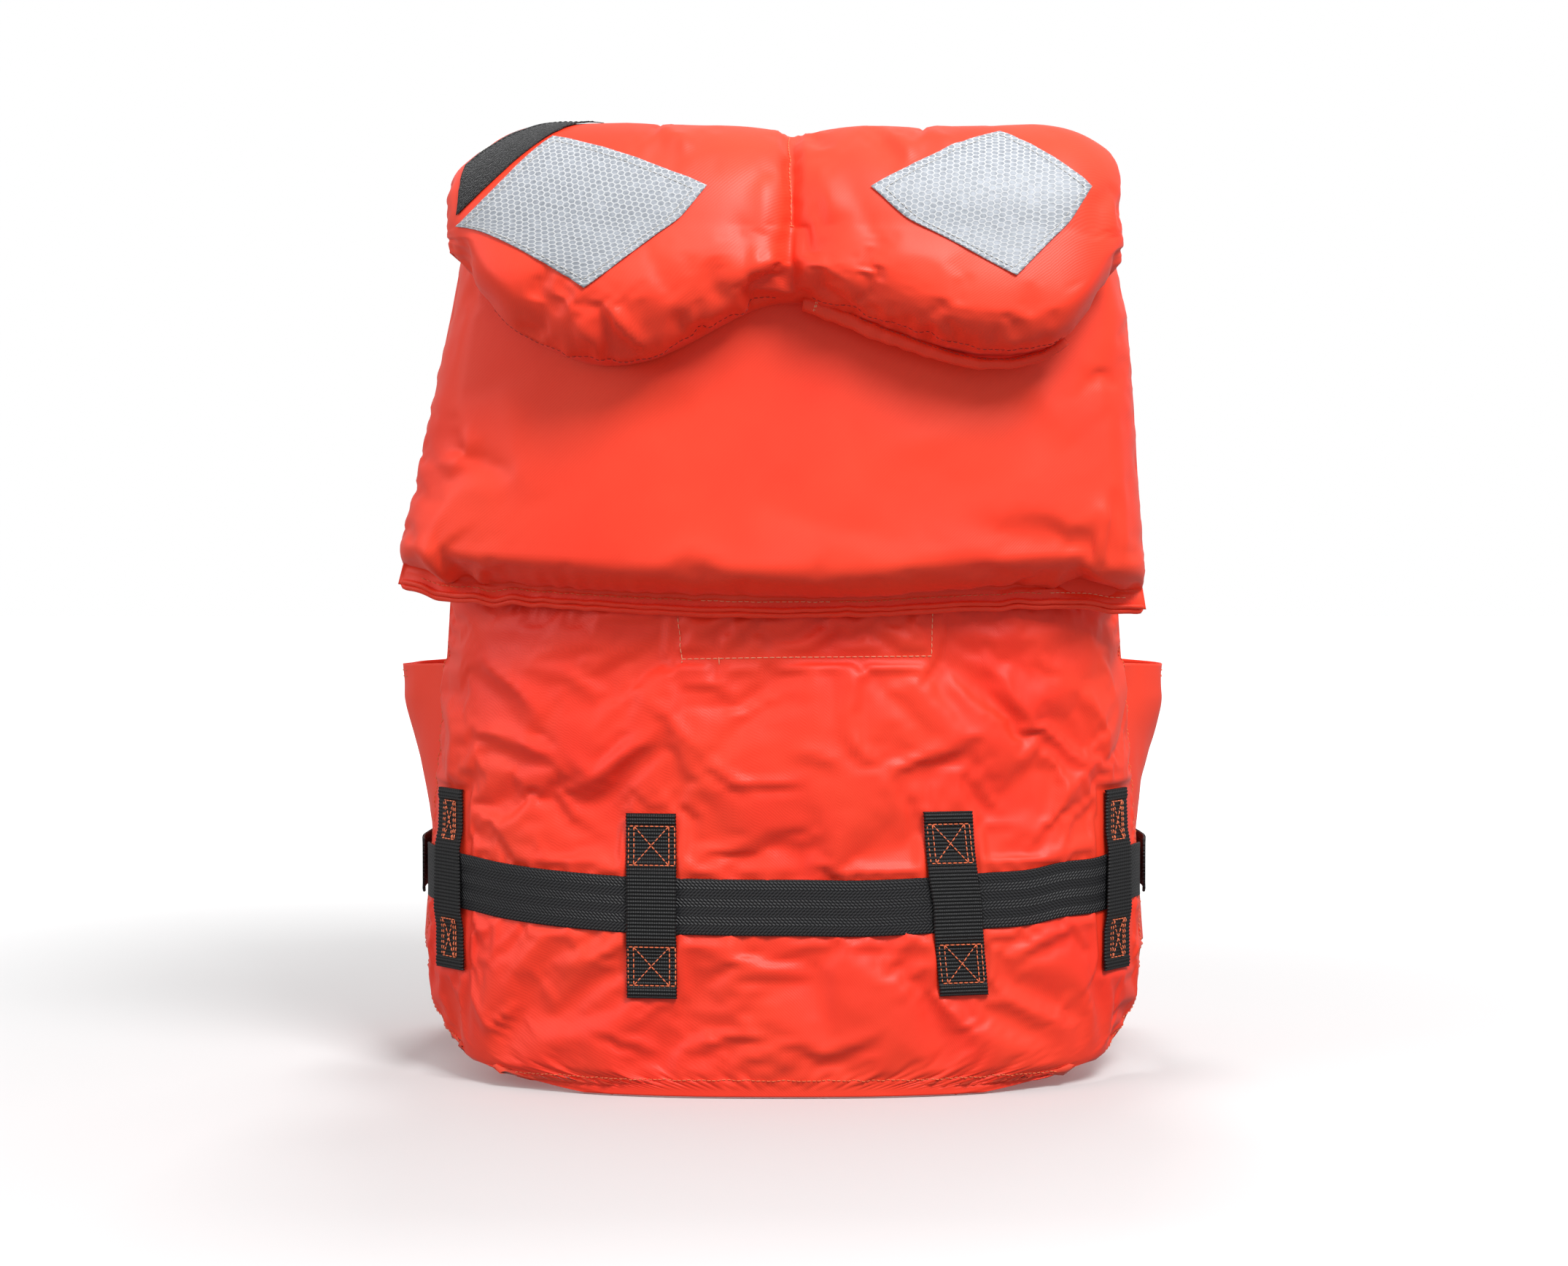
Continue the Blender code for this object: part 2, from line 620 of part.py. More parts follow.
def make_front_belt(side, sign, frame, outer):
    level = BUCKLE_Z / FRONT_LENGTH
    shares = [1 - step / 0.234 for step in (0.013, 0.021, 0.032, 0.05, 0.075, 0.10, 0.125)]
    bulge = [Vector((abs(point.x), point.y)) for point in (outer(u, level) for u in shares)]
    panel = [side_curve(BUCKLE_Z, share).to_2d() for share in (0.0, 0.2, 0.4)]
    plan = follow(panel + bulge, 0.0032)
    end = [Vector((0.100, BELT_FRONT_Y - 0.0032))]
    if side == "left":
        centre_y = BELT_FRONT_Y + WEBBING / 2
        end = [Vector((0.090, centre_y)), Vector((0.070, centre_y)), *fold_round_bar()]
        end.append(Vector((0.086, centre_y + FOLD_STEP)))
    lay_belt(f"belt_front_{side}", plan + end, sign, frame)
    top = BELT_FRONT_Y + WEBBING + 0.0008
    lift = [(-0.062, None), (-0.036, None), (-0.0205, top), (0.0205, top), (0.036, None), (0.062, None)]

    def place(x, row):
        dz, y = lift[row]
        u = (x - 0.006) / 0.234
        cloth = outer(u, (BUCKLE_Z + dz) / FRONT_LENGTH)
        return Vector((sign * x, y or cloth.y + 0.0012, BUCKLE_Z + dz))

    lay(f"loop_front_{side}", spaced(*FRONT_LOOP_X, 3), range(6), place, (0, 1, 0), "webbing", frame, WEBBING, 1)


# Side-release buckle, sliding belt end and keeper

BUCKLE_Y = BELT_FRONT_Y + WEBBING / 2 + FOLD_STEP / 2


def add_box(name, low, high, collection=JACKET):
    box = bmesh.new()
    bmesh.ops.create_cube(box, size=1)
    for vert in box.verts:
        vert.co = Vector(b if c > 0 else a for a, b, c in zip(low, high, vert.co))
    mesh = bpy.data.meshes.new(name)
    box.to_mesh(mesh)
    box.free()
    obj = bpy.data.objects.new(name, mesh)
    collection.objects.link(obj)
    if collection is CUTTERS:
        obj.hide_render = True
        obj.display_type = "WIRE"
    return obj


def combine(obj, operation, low, high):
    other = add_box(f"{obj.name}_{operation.lower()}_{len(obj.modifiers)}", low, high, CUTTERS)
    boolean = obj.modifiers.new(operation.lower(), "BOOLEAN")
    boolean.operation = operation
    boolean.object = other


def soften(obj, width):
    bevel = obj.modifiers.new("edges", "BEVEL")
    bevel.width = width
    bevel.segments = 2
    bevel.limit_method = "ANGLE"


def block(x_low, x_high, y_half, z_low, z_high):
    """Opposite corners of a box centred on the buckle's middle plane."""
    return ((x_low, BUCKLE_Y - y_half, BUCKLE_Z + z_low), (x_high, BUCKLE_Y + y_half, BUCKLE_Z + z_high))


def make_socket(frame):
    socket = add_box("buckle_socket", *block(-0.048, MOUTH_X, 0.0056, -0.0245, 0.0245))
    soften(socket, 0.0020)
    combine(socket, "UNION", *block(-BAR_X - 0.0022, -0.046, 0.0022, -0.0240, 0.0240))
    combine(socket, "DIFFERENCE", *block(-0.0555, -0.0500, 0.02, -0.0197, 0.0197))
    combine(socket, "DIFFERENCE", *block(-0.0400, 0.01, 0.0031, -0.0194, 0.0194))
    combine(socket, "DIFFERENCE", *block(-0.0310, -0.0140, 0.0031, -0.03, 0.03))
    own(socket, "acetal", frame)


def make_plug():
    frame = add_frame("plug_slide", Vector((BAR_X, BUCKLE_Y, BUCKLE_Z)), FRONT_FRAMES["right"])
    plug = add_box("buckle_plug", *block(0.0342, 0.0490, 0.0052, -0.0240, 0.0240))
    soften(plug, 0.0018)
    combine(plug, "UNION", *block(0.0470, BAR_X + 0.0022, 0.0022, -0.0240, 0.0240))
    combine(plug, "UNION", *block(0.0100, 0.0360, 0.0017, -0.0040, 0.0040))
    combine(plug, "DIFFERENCE", *block(0.0500, 0.0555, 0.02, -0.0197, 0.0197))
    own(plug, "acetal", frame)
    centre_y = BELT_FRONT_Y + WEBBING / 2
    plan = [Vector((0.137, centre_y)), Vector((0.070, centre_y)), *fold_round_bar()]
    plan.append(Vector((0.094, centre_y + FOLD_STEP)))
    lay_belt("belt_slide", plan, 1, frame)
    for name, way in (("upper", 1), ("lower", -1)):
        hinge = add_frame(f"arm_hinge_{name}", Vector((ARM_HINGE_X, BUCKLE_Y, BUCKLE_Z + way * ARM_OFFSET)), frame)
        stem = sorted((way * 0.0108, way * 0.0160))
        head = sorted((way * 0.0120, way * 0.0186))
        arm = add_box(f"buckle_arm_{name}", *block(0.0110, ARM_HINGE_X + 0.0003, 0.0022, *stem))
        combine(arm, "UNION", *block(0.0100, 0.0180, 0.0021, *head))
        own(arm, "acetal", hinge)
    keeper = add_box("belt_keeper", *block(0.0640, 0.0740, 0.0080, -0.0240, 0.0240))
    soften(keeper, 0.0010)
    combine(keeper, "DIFFERENCE", *block(0.05, 0.09, 0.0060, -0.0197, 0.0197))
    own(keeper, "acetal", add_frame("keeper_slide", Vector((0.069, BUCKLE_Y, BUCKLE_Z)), frame))


make_back()
make_back_belt()
make_flap()
make_pillow()
for side_name, side_sign in SIDES.items():
    make_front(side_name, side_sign)
make_socket(FRONT_FRAMES["left"])
make_plug()

for obj in (*JACKET.objects, *CUTTERS.objects):
    if obj.parent is None:
        obj.location.y += CENTRE_Y
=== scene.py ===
"""An adult foam life jacket seen from the back: nylon covers over foam sheets, a head pillow folded back from the
neck, and a webbing belt with its loops. Metres throughout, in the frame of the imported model."""

import math
from collections import namedtuple

import bmesh
import bpy
import mathutils
import numpy as np
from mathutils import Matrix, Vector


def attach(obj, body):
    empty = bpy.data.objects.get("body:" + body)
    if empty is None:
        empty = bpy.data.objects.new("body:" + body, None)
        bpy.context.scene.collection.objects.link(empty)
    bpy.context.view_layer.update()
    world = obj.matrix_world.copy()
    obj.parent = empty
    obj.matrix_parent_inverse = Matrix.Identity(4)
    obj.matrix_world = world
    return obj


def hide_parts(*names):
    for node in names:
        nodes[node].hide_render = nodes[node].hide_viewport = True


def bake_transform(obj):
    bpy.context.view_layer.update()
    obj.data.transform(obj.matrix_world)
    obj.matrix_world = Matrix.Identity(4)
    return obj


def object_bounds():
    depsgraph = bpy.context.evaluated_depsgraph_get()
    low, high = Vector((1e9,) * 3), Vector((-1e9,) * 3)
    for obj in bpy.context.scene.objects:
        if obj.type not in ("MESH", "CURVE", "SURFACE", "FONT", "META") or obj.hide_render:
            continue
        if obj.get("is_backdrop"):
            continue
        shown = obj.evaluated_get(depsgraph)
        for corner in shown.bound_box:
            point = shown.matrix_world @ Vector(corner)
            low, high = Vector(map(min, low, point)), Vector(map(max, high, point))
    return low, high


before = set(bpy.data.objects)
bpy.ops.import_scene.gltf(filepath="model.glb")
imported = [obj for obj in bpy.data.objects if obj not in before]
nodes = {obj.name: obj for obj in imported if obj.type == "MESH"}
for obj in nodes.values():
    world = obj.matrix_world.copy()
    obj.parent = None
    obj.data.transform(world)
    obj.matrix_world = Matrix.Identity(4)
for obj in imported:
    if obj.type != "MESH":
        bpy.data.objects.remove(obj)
scene = bpy.context.scene
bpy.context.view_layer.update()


# ---- Back cloth ----
# One panel of satin nylon from the neck to the hem, turned in and sewn to its lining all round. It holds no foam, so
# below the flap it hangs in soft folds, pulled in where the belt, the belt loops and the name patch are sewn to it.

WAIST_Z = [0.0, 0.010, 0.03, 0.05, 0.088, 0.14, 0.22, 0.29, 0.60]
WAIST_X = [0.240, 0.240, 0.2455, 0.2515, 0.2560, 0.2527, 0.2463, 0.2415, 0.2407]
BODY_Y = 0.0209
BACK_DEPTH = 0.135
BACK_BEND = 2.4
BACK_EDGE_Z = [0.0, 0.004, 0.010, 0.018, 0.03, 0.05, 0.088, 0.268, 0.282, 0.294, 0.310, 0.33, 0.40, 0.575]
BACK_EDGE_TURN = [30, 38, 51, 63, 73, 80, 82.6, 82.6, 81, 78, 76, 74, 66, 60]
SHELL = 0.0012
BELT_Z = 0.127
UNDER_FLAP_Z = 0.330
HEM_ROLL_Z = 0.0105
HEM_SEAM_Z = 0.0115
BELT_HALF = 0.019
LOOPS = {"loop_back_left": (-0.0885, 0.0, 0.034), "loop_back_right": (0.1150, -0.10, 0.034),
    "loop_side_left": (-0.2300, 0.0, 0.030), "loop_side_right": (0.2290, 0.0, 0.030)}
NAME_PATCH = (-0.0715, 0.0985, 0.2935)

Cloth = namedtuple("Cloth", "points outward rows columns")


def around_back(turn, z, out=0.0):
    """Points at so many degrees round the back from its middle, at a height, moved out from the body."""
    turn, z = np.broadcast_arrays(np.asarray(turn, float), np.asarray(z, float))
    width = np.interp(z, WAIST_Z, WAIST_X)

    def plan(angle):
        across, ahead = np.sin(np.radians(angle)), np.cos(np.radians(angle))
        side = np.sign(across) * np.abs(across) ** (2 / BACK_BEND)
        return np.stack([width * side, BODY_Y - BACK_DEPTH * np.abs(ahead) ** (2 / BACK_BEND), z], -1)

    step = plan(turn + 0.5) - plan(turn - 0.5)
    away = unit(np.stack([step[..., 1], -step[..., 0], 0 * z], -1))
    return plan(turn) + away * np.asarray(out)[..., None]


def turn_at(x, z):
    side = np.clip(np.abs(x) / np.interp(z, WAIST_Z, WAIST_X), 0, 1)
    return np.sign(x) * np.degrees(np.arcsin(side ** (BACK_BEND / 2)))


def belt_height(turn):
    return BELT_Z + 0.015 * np.sin(np.radians(turn)) ** 2


def ripple(x, y, seed):
    """Smooth random heights from -1 to 1, one to a unit square, the same on every run."""
    left, low = np.floor(x), np.floor(y)

    def corner(i, j):
        value = np.sin((left + i) * 127.1 + (low + j) * 311.7 + seed * 74.7) * 43758.5453
        return 2 * (value - np.floor(value)) - 1

    s, t = x - left, y - low
    s, t = s * s * (3 - 2 * s), t * t * (3 - 2 * t)
    return (corner(0, 0) * (1 - s) + corner(1, 0) * s) * (1 - t) + (corner(0, 1) * (1 - s) + corner(1, 1) * s) * t


def folded(x, z, folds):
    """Height of soft folds in cloth. Each runs from one point to another, has a width and a rise in millimetres,
    fades at both ends, wanders a little, and has a shallow hollow along its lower side."""
    height = 0 * x
    for number, (x0, z0, x1, z1, width, rise) in enumerate(folds):
        dx, dz = x1 - x0, z1 - z0
        length = math.hypot(dx, dz)
        along = ((x - x0) * dx + (z - z0) * dz) / length ** 2
        off = ((x - x0) * dz - (z - z0) * dx) / length
        off = (off + 0.006 * ripple(x / 0.030, z / 0.030, number)) / (width / 1000)
        fade = np.clip(1.15 - np.abs(2 * along - 1) ** 2.5, 0, 1)
        height += rise / 1000 * fade * (np.exp(-np.abs(off) ** 1.5) - 0.45 * np.exp(-((off - 1.7) / 1.2) ** 2))
    return height


def spread(length, edge, step):
    """Distances along a length: the steps of a rounded edge at each end, and even ones between."""
    count = max(1, round((length - 2 * edge[-1]) / step))
    middle = np.linspace(edge[-1], length - edge[-1], count + 1)
    return np.concatenate([edge[:-1], middle, length - np.array(edge[:-1])[::-1]])


def unit(ways):
    """Directions made one long."""
    return ways / (np.linalg.norm(ways, axis=-1, keepdims=True) + 1e-12)


def distance_along(line):
    return np.concatenate([[0], np.linalg.norm(np.diff(line, axis=0), axis=1).cumsum()])


def read_along(at, places, line):
    """Points at these places along a line of points."""
    return np.stack([np.interp(at, places, line[:, k]) for k in range(line.shape[1])], -1)


def outward_of(points, toward):
    normal = unit(np.cross(np.gradient(points, axis=1), np.gradient(points, axis=0)))
    return normal * np.sign((normal * toward).sum())


def lifted(points, toward, height):
    return points + outward_of(points, toward) * height[..., None]


def finer(grid):
    """Twice as many points each way, on smooth curves through the old ones."""
    for axis in range(2 if grid.ndim == 3 else 1):
        grid = np.moveaxis(grid, axis, 0)
        ends = np.concatenate([2 * grid[:1] - grid[1:2], grid, 2 * grid[-1:] - grid[-2:-1]])
        made = np.empty((2 * len(grid) - 1, *grid.shape[1:]))
        made[::2] = grid
        made[1::2] = (9 * (ends[1:-2] + ends[2:-1]) - ends[:-3] - ends[3:]) / 16
        grid = np.moveaxis(made, 0, axis)
    return grid


def make_mesh(name, points, faces, flat, material):
    """A smooth mesh with a UV map in metres along the cloth, so that a weave keeps its size."""
    mesh = bpy.data.meshes.new(name)
    mesh.from_pydata(points.reshape(-1, 3).tolist(), [], faces)
    places = mesh.uv_layers.new(name="cloth").data
    if flat is not None:
        corner = np.empty(len(mesh.loops), int)
        mesh.loops.foreach_get("vertex_index", corner)
        places.foreach_set("uv", flat.reshape(-1, 2)[corner].ravel())
    mesh.shade_smooth()
    mesh.materials.append(material)
    obj = bpy.data.objects.new(name, mesh)
    scene.collection.objects.link(obj)
    return obj


def sew_closed(name, face, back, material, body=None):
    """A closed piece of cloth from a grid of points for its face and one for its back, joined round the edge."""
    rows, columns = face.shape[:2]
    count = rows * columns
    index = np.arange(count).reshape(rows, columns)
    quads = np.stack([index[:-1, :-1], index[:-1, 1:], index[1:, 1:], index[1:, :-1]], -1).reshape(-1, 4)
    rim = np.concatenate([index[0], index[1:, -1], index[-1, -2::-1], index[-2:0:-1, 0]])
    after = np.roll(rim, -1)
    faces = np.concatenate([quads, quads[:, ::-1] + count, np.stack([after, rim, rim + count, after + count], -1)])
    points = np.concatenate([face.reshape(-1, 3), back.reshape(-1, 3)])
    a, b, c = points[faces[:, 0]], points[faces[:, 1]], points[faces[:, 2]]
    d = points[faces[:, 3]]
    if ((a * np.cross(b, c)).sum() + (a * np.cross(c, d)).sum()) < 0:
        faces = faces[:, ::-1]
    wide = np.linalg.norm(np.diff(face, axis=1), axis=2)
    long = np.linalg.norm(np.diff(face, axis=0), axis=2)
    u = np.concatenate([np.zeros((rows, 1)), wide.cumsum(axis=1)], axis=1)
    v = np.concatenate([np.zeros((1, columns)), long.cumsum(axis=0)], axis=0)
    u -= u[:, columns // 2][:, None]
    flat = np.tile(np.stack([u, v], -1).reshape(-1, 2), (2, 1))
    obj = make_mesh(name, points, faces.tolist(), flat, material)
    if body:
        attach(obj, body)
    return obj


def settle(face, back, sewn, puff, slack, travel, steps=20):
    """The face after a cloth simulation. Points with sewn at 1 stay, the back stays whole, air pressure puffs the face
    out, and slack is the share of spare cloth. No point moves further than travel."""
    obj = sew_closed("settling", face, back, nylon)
    group = obj.vertex_groups.new(name="sewn")
    held = np.concatenate([sewn.ravel(), np.ones(sewn.size)])
    for weight in np.unique(np.round(held, 1)):
        if weight > 0:
            group.add(np.nonzero(np.round(held, 1) == weight)[0].tolist(), float(weight), "REPLACE")
    cloth = obj.modifiers.new("cloth", "CLOTH")
    cloth.settings.quality = 5
    cloth.settings.mass = 0.2
    cloth.settings.bending_stiffness = 0.3
    cloth.settings.vertex_group_mass = "sewn"
    cloth.settings.shrink_min = -slack
    cloth.settings.use_pressure = puff > 0
    cloth.settings.uniform_pressure_force = puff
    cloth.settings.effector_weights.gravity = 0
    cloth.collision_settings.use_collision = False
    for step in range(1, steps + 1):
        scene.frame_set(step)
    result = obj.evaluated_get(bpy.context.evaluated_depsgraph_get()).data
    points = np.empty(len(result.vertices) * 3)
    result.vertices.foreach_get("co", points)
    scene.frame_set(1)
    mesh = obj.data
    bpy.data.objects.remove(obj)
    bpy.data.meshes.remove(mesh)
    moved = points.reshape(-1, 3)[:sewn.size].reshape(face.shape) - face
    far = np.linalg.norm(moved, axis=-1, keepdims=True) + 1e-9
    return face + moved * np.tanh(far / travel) * travel / far


def paint(code):
    """Linear colour of an sRGB hex code."""
    shares = [int(code[place:place + 2], 16) / 255 for place in (1, 3, 5)]
    return (*(s / 12.92 if s <= 0.04045 else ((s + 0.055) / 1.055) ** 2.4 for s in shares), 1.0)


def set_inputs(node, inputs):
    """Each input gets a value, an sRGB hex code, an output, or a node, which stands for its first output."""
    for name, value in inputs.items():
        if isinstance(value, bpy.types.Node):
            value = next(output for output in value.outputs if not output.is_unavailable)
        if isinstance(value, bpy.types.NodeSocket):
            node.id_data.links.new(value, node.inputs[name])
        else:
            node.inputs[name].default_value = paint(value) if isinstance(value, str) else value


def add_node(owner, kind, inputs, **settings):
    """A shader node of this kind in a material or a world."""
    node = owner.node_tree.nodes.new("ShaderNode" + kind)
    for name, value in settings.items():
        setattr(node, name, value)
    set_inputs(node, inputs)
    return node


def start_material(name, inputs):
    """A material and its surface shader, the plain inputs of the shader set."""
    material = bpy.data.materials.new(name)
    material.use_nodes = True
    shader = material.node_tree.nodes["Principled BSDF"]
    set_inputs(shader, inputs)
    return material, shader


def satin_nylon(name, colours, crinkle):
    """Fluorescent orange-red nylon in a satin weave: a soft gloss that whitens the folds facing the light, a fine
    diagonal weave, and small creases where it hangs slack."""
    material, shader = start_material(name, {"Roughness": 0.50, "Specular IOR Level": 0.42, "Sheen Weight": 0.05,
        "Sheen Roughness": 0.35})
    cloth = add_node(material, "UVMap", {}, uv_map="cloth")
    # Threads are 0.25 mm apart. They are drawn 1.1 mm apart, so that the weave shows at all.
    warp = add_node(material, "TexWave", {"Vector": cloth, "Scale": 2 * math.pi / 0.0011 / 20, "Distortion": 0.6,
        "Detail": 1.0, "Detail Scale": 2.0}, wave_type="BANDS", bands_direction="DIAGONAL")
    creases = add_node(material, "TexNoise", {"Vector": cloth, "Scale": 26.0, "Detail": 4.0, "Roughness": 0.5,
        "Distortion": 0.8}, noise_type="RIDGED_MULTIFRACTAL")
    weave_bump = add_node(material, "Bump", {"Strength": 0.10, "Distance": 0.0004, "Height": warp.outputs["Fac"]})
    crease_bump = add_node(material, "Bump", {"Strength": crinkle, "Distance": 0.003, "Height": creases,
        "Normal": weave_bump})
    cloud = add_node(material, "TexNoise", {"Vector": cloth, "Scale": 9.0, "Detail": 3.0})
    tone = add_node(material, "MapRange", {"Value": cloud, "From Min": 0.35, "From Max": 0.65})
    body = add_node(material, "Mix", {"Factor": tone, "A": colours[0], "B": colours[1]}, data_type="RGBA")
    thread = add_node(material, "MapRange", {"Value": warp.outputs["Fac"], "To Min": 0.0, "To Max": 0.16})
    woven = add_node(material, "Mix", {"Factor": thread, "A": body, "B": colours[2]}, data_type="RGBA")
    set_inputs(shader, {"Base Color": woven, "Normal": crease_bump})
    return material


nylon = satin_nylon("satin_nylon", ("#FC4427", "#FA3B20", "#DC2C18"), 0.07)
slack_nylon = satin_nylon("satin_nylon_slack", ("#FB4023", "#F8331B", "#DC2C18"), 0.13)

back_rows = np.concatenate([[0, 0.002, 0.005, 0.008], np.arange(0.012, 0.345, 0.0050), np.linspace(0.352, 0.575, 18)])
back_columns = np.linspace(-1, 1, 125)


def back_panel(rows, columns, out):
    share, z = np.meshgrid(columns, rows)
    edge = np.interp(z, BACK_EDGE_Z, BACK_EDGE_TURN)
    return around_back(share * edge, z, out), share * edge, z


def back_folds(x, z):
    """Folds of the lower back: short ones fanning out from under the flap, long slack ones at each side, a bag of
    cloth over the left loop, and the creases that run from the belt down to the hem."""
    places = [
        (-.020, .3235, -.041, .2974, 5, 2.2), (-.004, .3218, -.020, .2974, 4, 1.8),
        (.036, .3218, .015, .2992, 5, 1.8), (.060, .3148, .079, .2974, 4, 1.6), (-.055, .3148, -.065, .2974, 4, 1.2),
        (.022, .3148, .084, .3113, 4, 1.1), (-.204, .2940, -.159, .2540, 8, 3.4),
        (-.211, .2453, -.152, .2314, 6, 2.4), (-.170, .2470, -.152, .2349, 3, -1.6),
        (-.229, .2662, -.225, .2070, 7, 3.2), (-.211, .2383, -.215, .2105, 5, 2.2),
        (-.183, .2905, -.117, .2766, 10, 1.7), (-.149, .2036, -.083, .2488, 9, 4.2),
        (-.128, .2192, -.100, .2436, 4, -2.4), (-.051, .2227, -.020, .2063, 3, 2.4),
        (-.037, .2063, .015, .2123, 3, 2.0), (-.100, .2731, -.048, .2349, 10, 1.8),
        (-.069, .2835, -.013, .2766, 7, 1.5), (-.041, .2557, .001, .2644, 4, 1.4), (.008, .2349, .036, .2210, 6, 1.7),
        (.043, .2870, .039, .2488, 7, 2.4), (.039, .2488, .060, .2244, 6, 2.2), (.150, .2905, .175, .2314, 7, 3.8),
        (.175, .2314, .192, .1897, 6, 3.2), (.164, .2488, .203, .2210, 5, 2.6), (.084, .2314, .147, .2523, 9, 1.8),
        (.112, .2835, .143, .2453, 6, 2.0), (.203, .2731, .216, .2244, 6, 3.0), (.130, .2210, .147, .1897, 5, 1.8),
        (.070, .2210, .119, .2314, 5, 1.4), (-.149, .2071, -.142, .1827, 4, 1.7),
        (-.069, .2001, -.055, .1897, 5, 1.6), (-.166, .1966, -.194, .1723, 7, 2.2),
        (.001, .1653, .022, .1758, 4, 1.2), (-.208, .1375, -.170, .1306, 4, 2.4),
        (-.149, .0784, -.110, .1132, 8, 2.8), (-.211, .1132, -.222, .0715, 6, 2.2),
        (-.215, .0715, -.197, .0367, 4, 2.4), (-.197, .0367, -.183, .0610, 4, 2.2),
        (-.180, .0923, -.149, .0575, 7, 2.0), (-.131, .0471, -.083, .0262, 6, 2.0),
        (-.069, .0332, -.013, .0402, 5, 1.8), (-.055, .0436, -.041, .0228, 4, 1.4),
        (-.006, .0193, .001, .0402, 4, 1.6), (.015, .0297, .063, .0402, 5, 1.6), (.029, .0923, .050, .0506, 9, 1.8),
        (.067, .0854, .088, .1097, 8, 1.8), (.098, .0715, .129, .0367, 8, 2.2), (.136, .0610, .189, .0471, 5, 2.0),
        (.147, .0923, .196, .1132, 7, 2.0), (.182, .0297, .199, .0645, 5, 1.8), (-.048, .0715, .008, .0923, 10, 1.4)]
    return 1.25 * folded(x, z, places)


def held_back(x, turn, z):
    """Where the back cloth can't move: under the flap, at its sewn edges, under the belt and at the stitching."""
    held = np.clip((z - UNDER_FLAP_Z) / 0.012, 0, 1)
    held = np.maximum(held, np.clip(1 - (z - 0.006) / 0.008, 0, 1))
    held = np.maximum(held, np.clip(1.1 - np.abs(z - belt_height(turn)) / BELT_HALF * 0.9, 0, 1) ** 0.5)
    left, right, low = NAME_PATCH
    sewn = (np.abs(z - low) < 0.004) & (x > left) & (x < right)
    sewn |= (z > low) & ((np.abs(x - left) < 0.004) | (np.abs(x - right) < 0.004))
    for place, lean, width in LOOPS.values():
        dz = z - belt_height(turn_at(place, BELT_Z))
        inside = np.abs(x - place - lean * dz) < width / 2 + 0.001
        sewn |= inside & (np.abs(dz) < 0.064)
    return np.where(sewn, 1.0, held)


points, turns, heights = back_panel(back_rows, back_columns, 0.0)
free = 1 - held_back(points[..., 0], turns, heights)
near_edge = np.clip((1 - np.abs(back_columns)) / 0.05, 0, 1)[None, :]
swell = (back_folds(points[..., 0], heights) * free + 0.0012 * free) * near_edge
points, _, _ = back_panel(back_rows, back_columns, swell)
held = np.maximum(1 - free, (near_edge < 0.3) * np.ones_like(free))
points = settle(points, points - outward_of(points, (0, -1, 0)) * 0.004, held, 0.6, 0.035, 0.0075)
points, rows, columns = finer(points), finer(back_rows), finer(back_columns)
share, z = np.meshgrid(columns, rows)
loose = finer(free[..., None])[..., 0] * np.clip((0.97 - np.abs(share)) / 0.06, 0, 1)
fine = (np.abs(ripple(points[..., 0] / 0.011, z / 0.017, 3)) - 0.4) * 0.0004
hem = np.clip(1 - np.abs(z - HEM_ROLL_Z) / 0.004, 0, 1) * ripple(points[..., 0] / 0.006, 0 * z, 5) * 0.0004
hem = (hem + np.where(z < HEM_ROLL_Z, 0.0005, 0.0)) * np.clip((0.93 - np.abs(share)) / 0.10, 0, 1)
points = lifted(points, (0, -1, 0), fine * loose + hem)
back_cloth = Cloth(points, outward_of(points, (0, -1, 0)), rows, columns)
back = sew_closed("back_cloth", points, points - back_cloth.outward * SHELL, slack_nylon, "back")
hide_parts("back_shell")


back_size = (0.66, 0.578)


# ---- Back lining and name patch ----
# A second panel of thinner, duller nylon behind the back cloth, sewn to it round the edge. Between them a small
# rectangle of the same nylon stiffens the place where a name is written; only its row of stitches shows outside.

LINING = 0.0010
PATCH = 0.0006


def tube(name, rings, flat, material, body, capped=True):
    """A closed surface through rings of points, with a UV for every point."""
    count, around = rings.shape[:2]
    index = np.arange(count * around).reshape(count, around)
    after = np.roll(index, -1, axis=1)
    faces = np.stack([index[:-1], after[:-1], after[1:], index[1:]], -1).reshape(-1, 4).tolist()
    if capped:
        faces += [index[0, ::-1].tolist(), index[-1].tolist()]
    return ride_facing_out(make_mesh(name, rings, faces, flat, material), body)


def ride_facing_out(obj, body):
    build = bmesh.new()
    build.from_mesh(obj.data)
    bmesh.ops.recalc_face_normals(build, faces=build.faces)
    build.to_mesh(obj.data)
    build.free()
    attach(obj, body)
    return obj


def on_cloth(cloth, columns, rows, lift=0.0):
    """Points on a cloth at these column and row values, lifted off it, and the directions out of it there."""
    j = np.interp(columns, cloth.columns, np.arange(len(cloth.columns)))
    i = np.interp(rows, cloth.rows, np.arange(len(cloth.rows)))
    low = np.clip(i.astype(int), 0, len(cloth.rows) - 2)
    left = np.clip(j.astype(int), 0, len(cloth.columns) - 2)
    s, t = (i - low)[..., None], (j - left)[..., None]

    def read(grid):
        near = grid[low, left] * (1 - t) + grid[low, left + 1] * t
        far = grid[low + 1, left] * (1 - t) + grid[low + 1, left + 1] * t
        return near * (1 - s) + far * s

    out = unit(read(cloth.outward))
    return read(cloth.points) + out * np.asarray(lift)[..., None], out


def seam_on(cloth, corners, lift=0.0002):
    """A line along a cloth from corner to corner, each a (column, row) pair."""
    ends = np.array(corners, float)
    steps = np.linspace(0, len(ends) - 1, 80 * (len(ends) - 1) + 1)
    place = np.arange(len(ends))
    return on_cloth(cloth, np.interp(steps, place, ends[:, 0]), np.interp(steps, place, ends[:, 1]), lift)


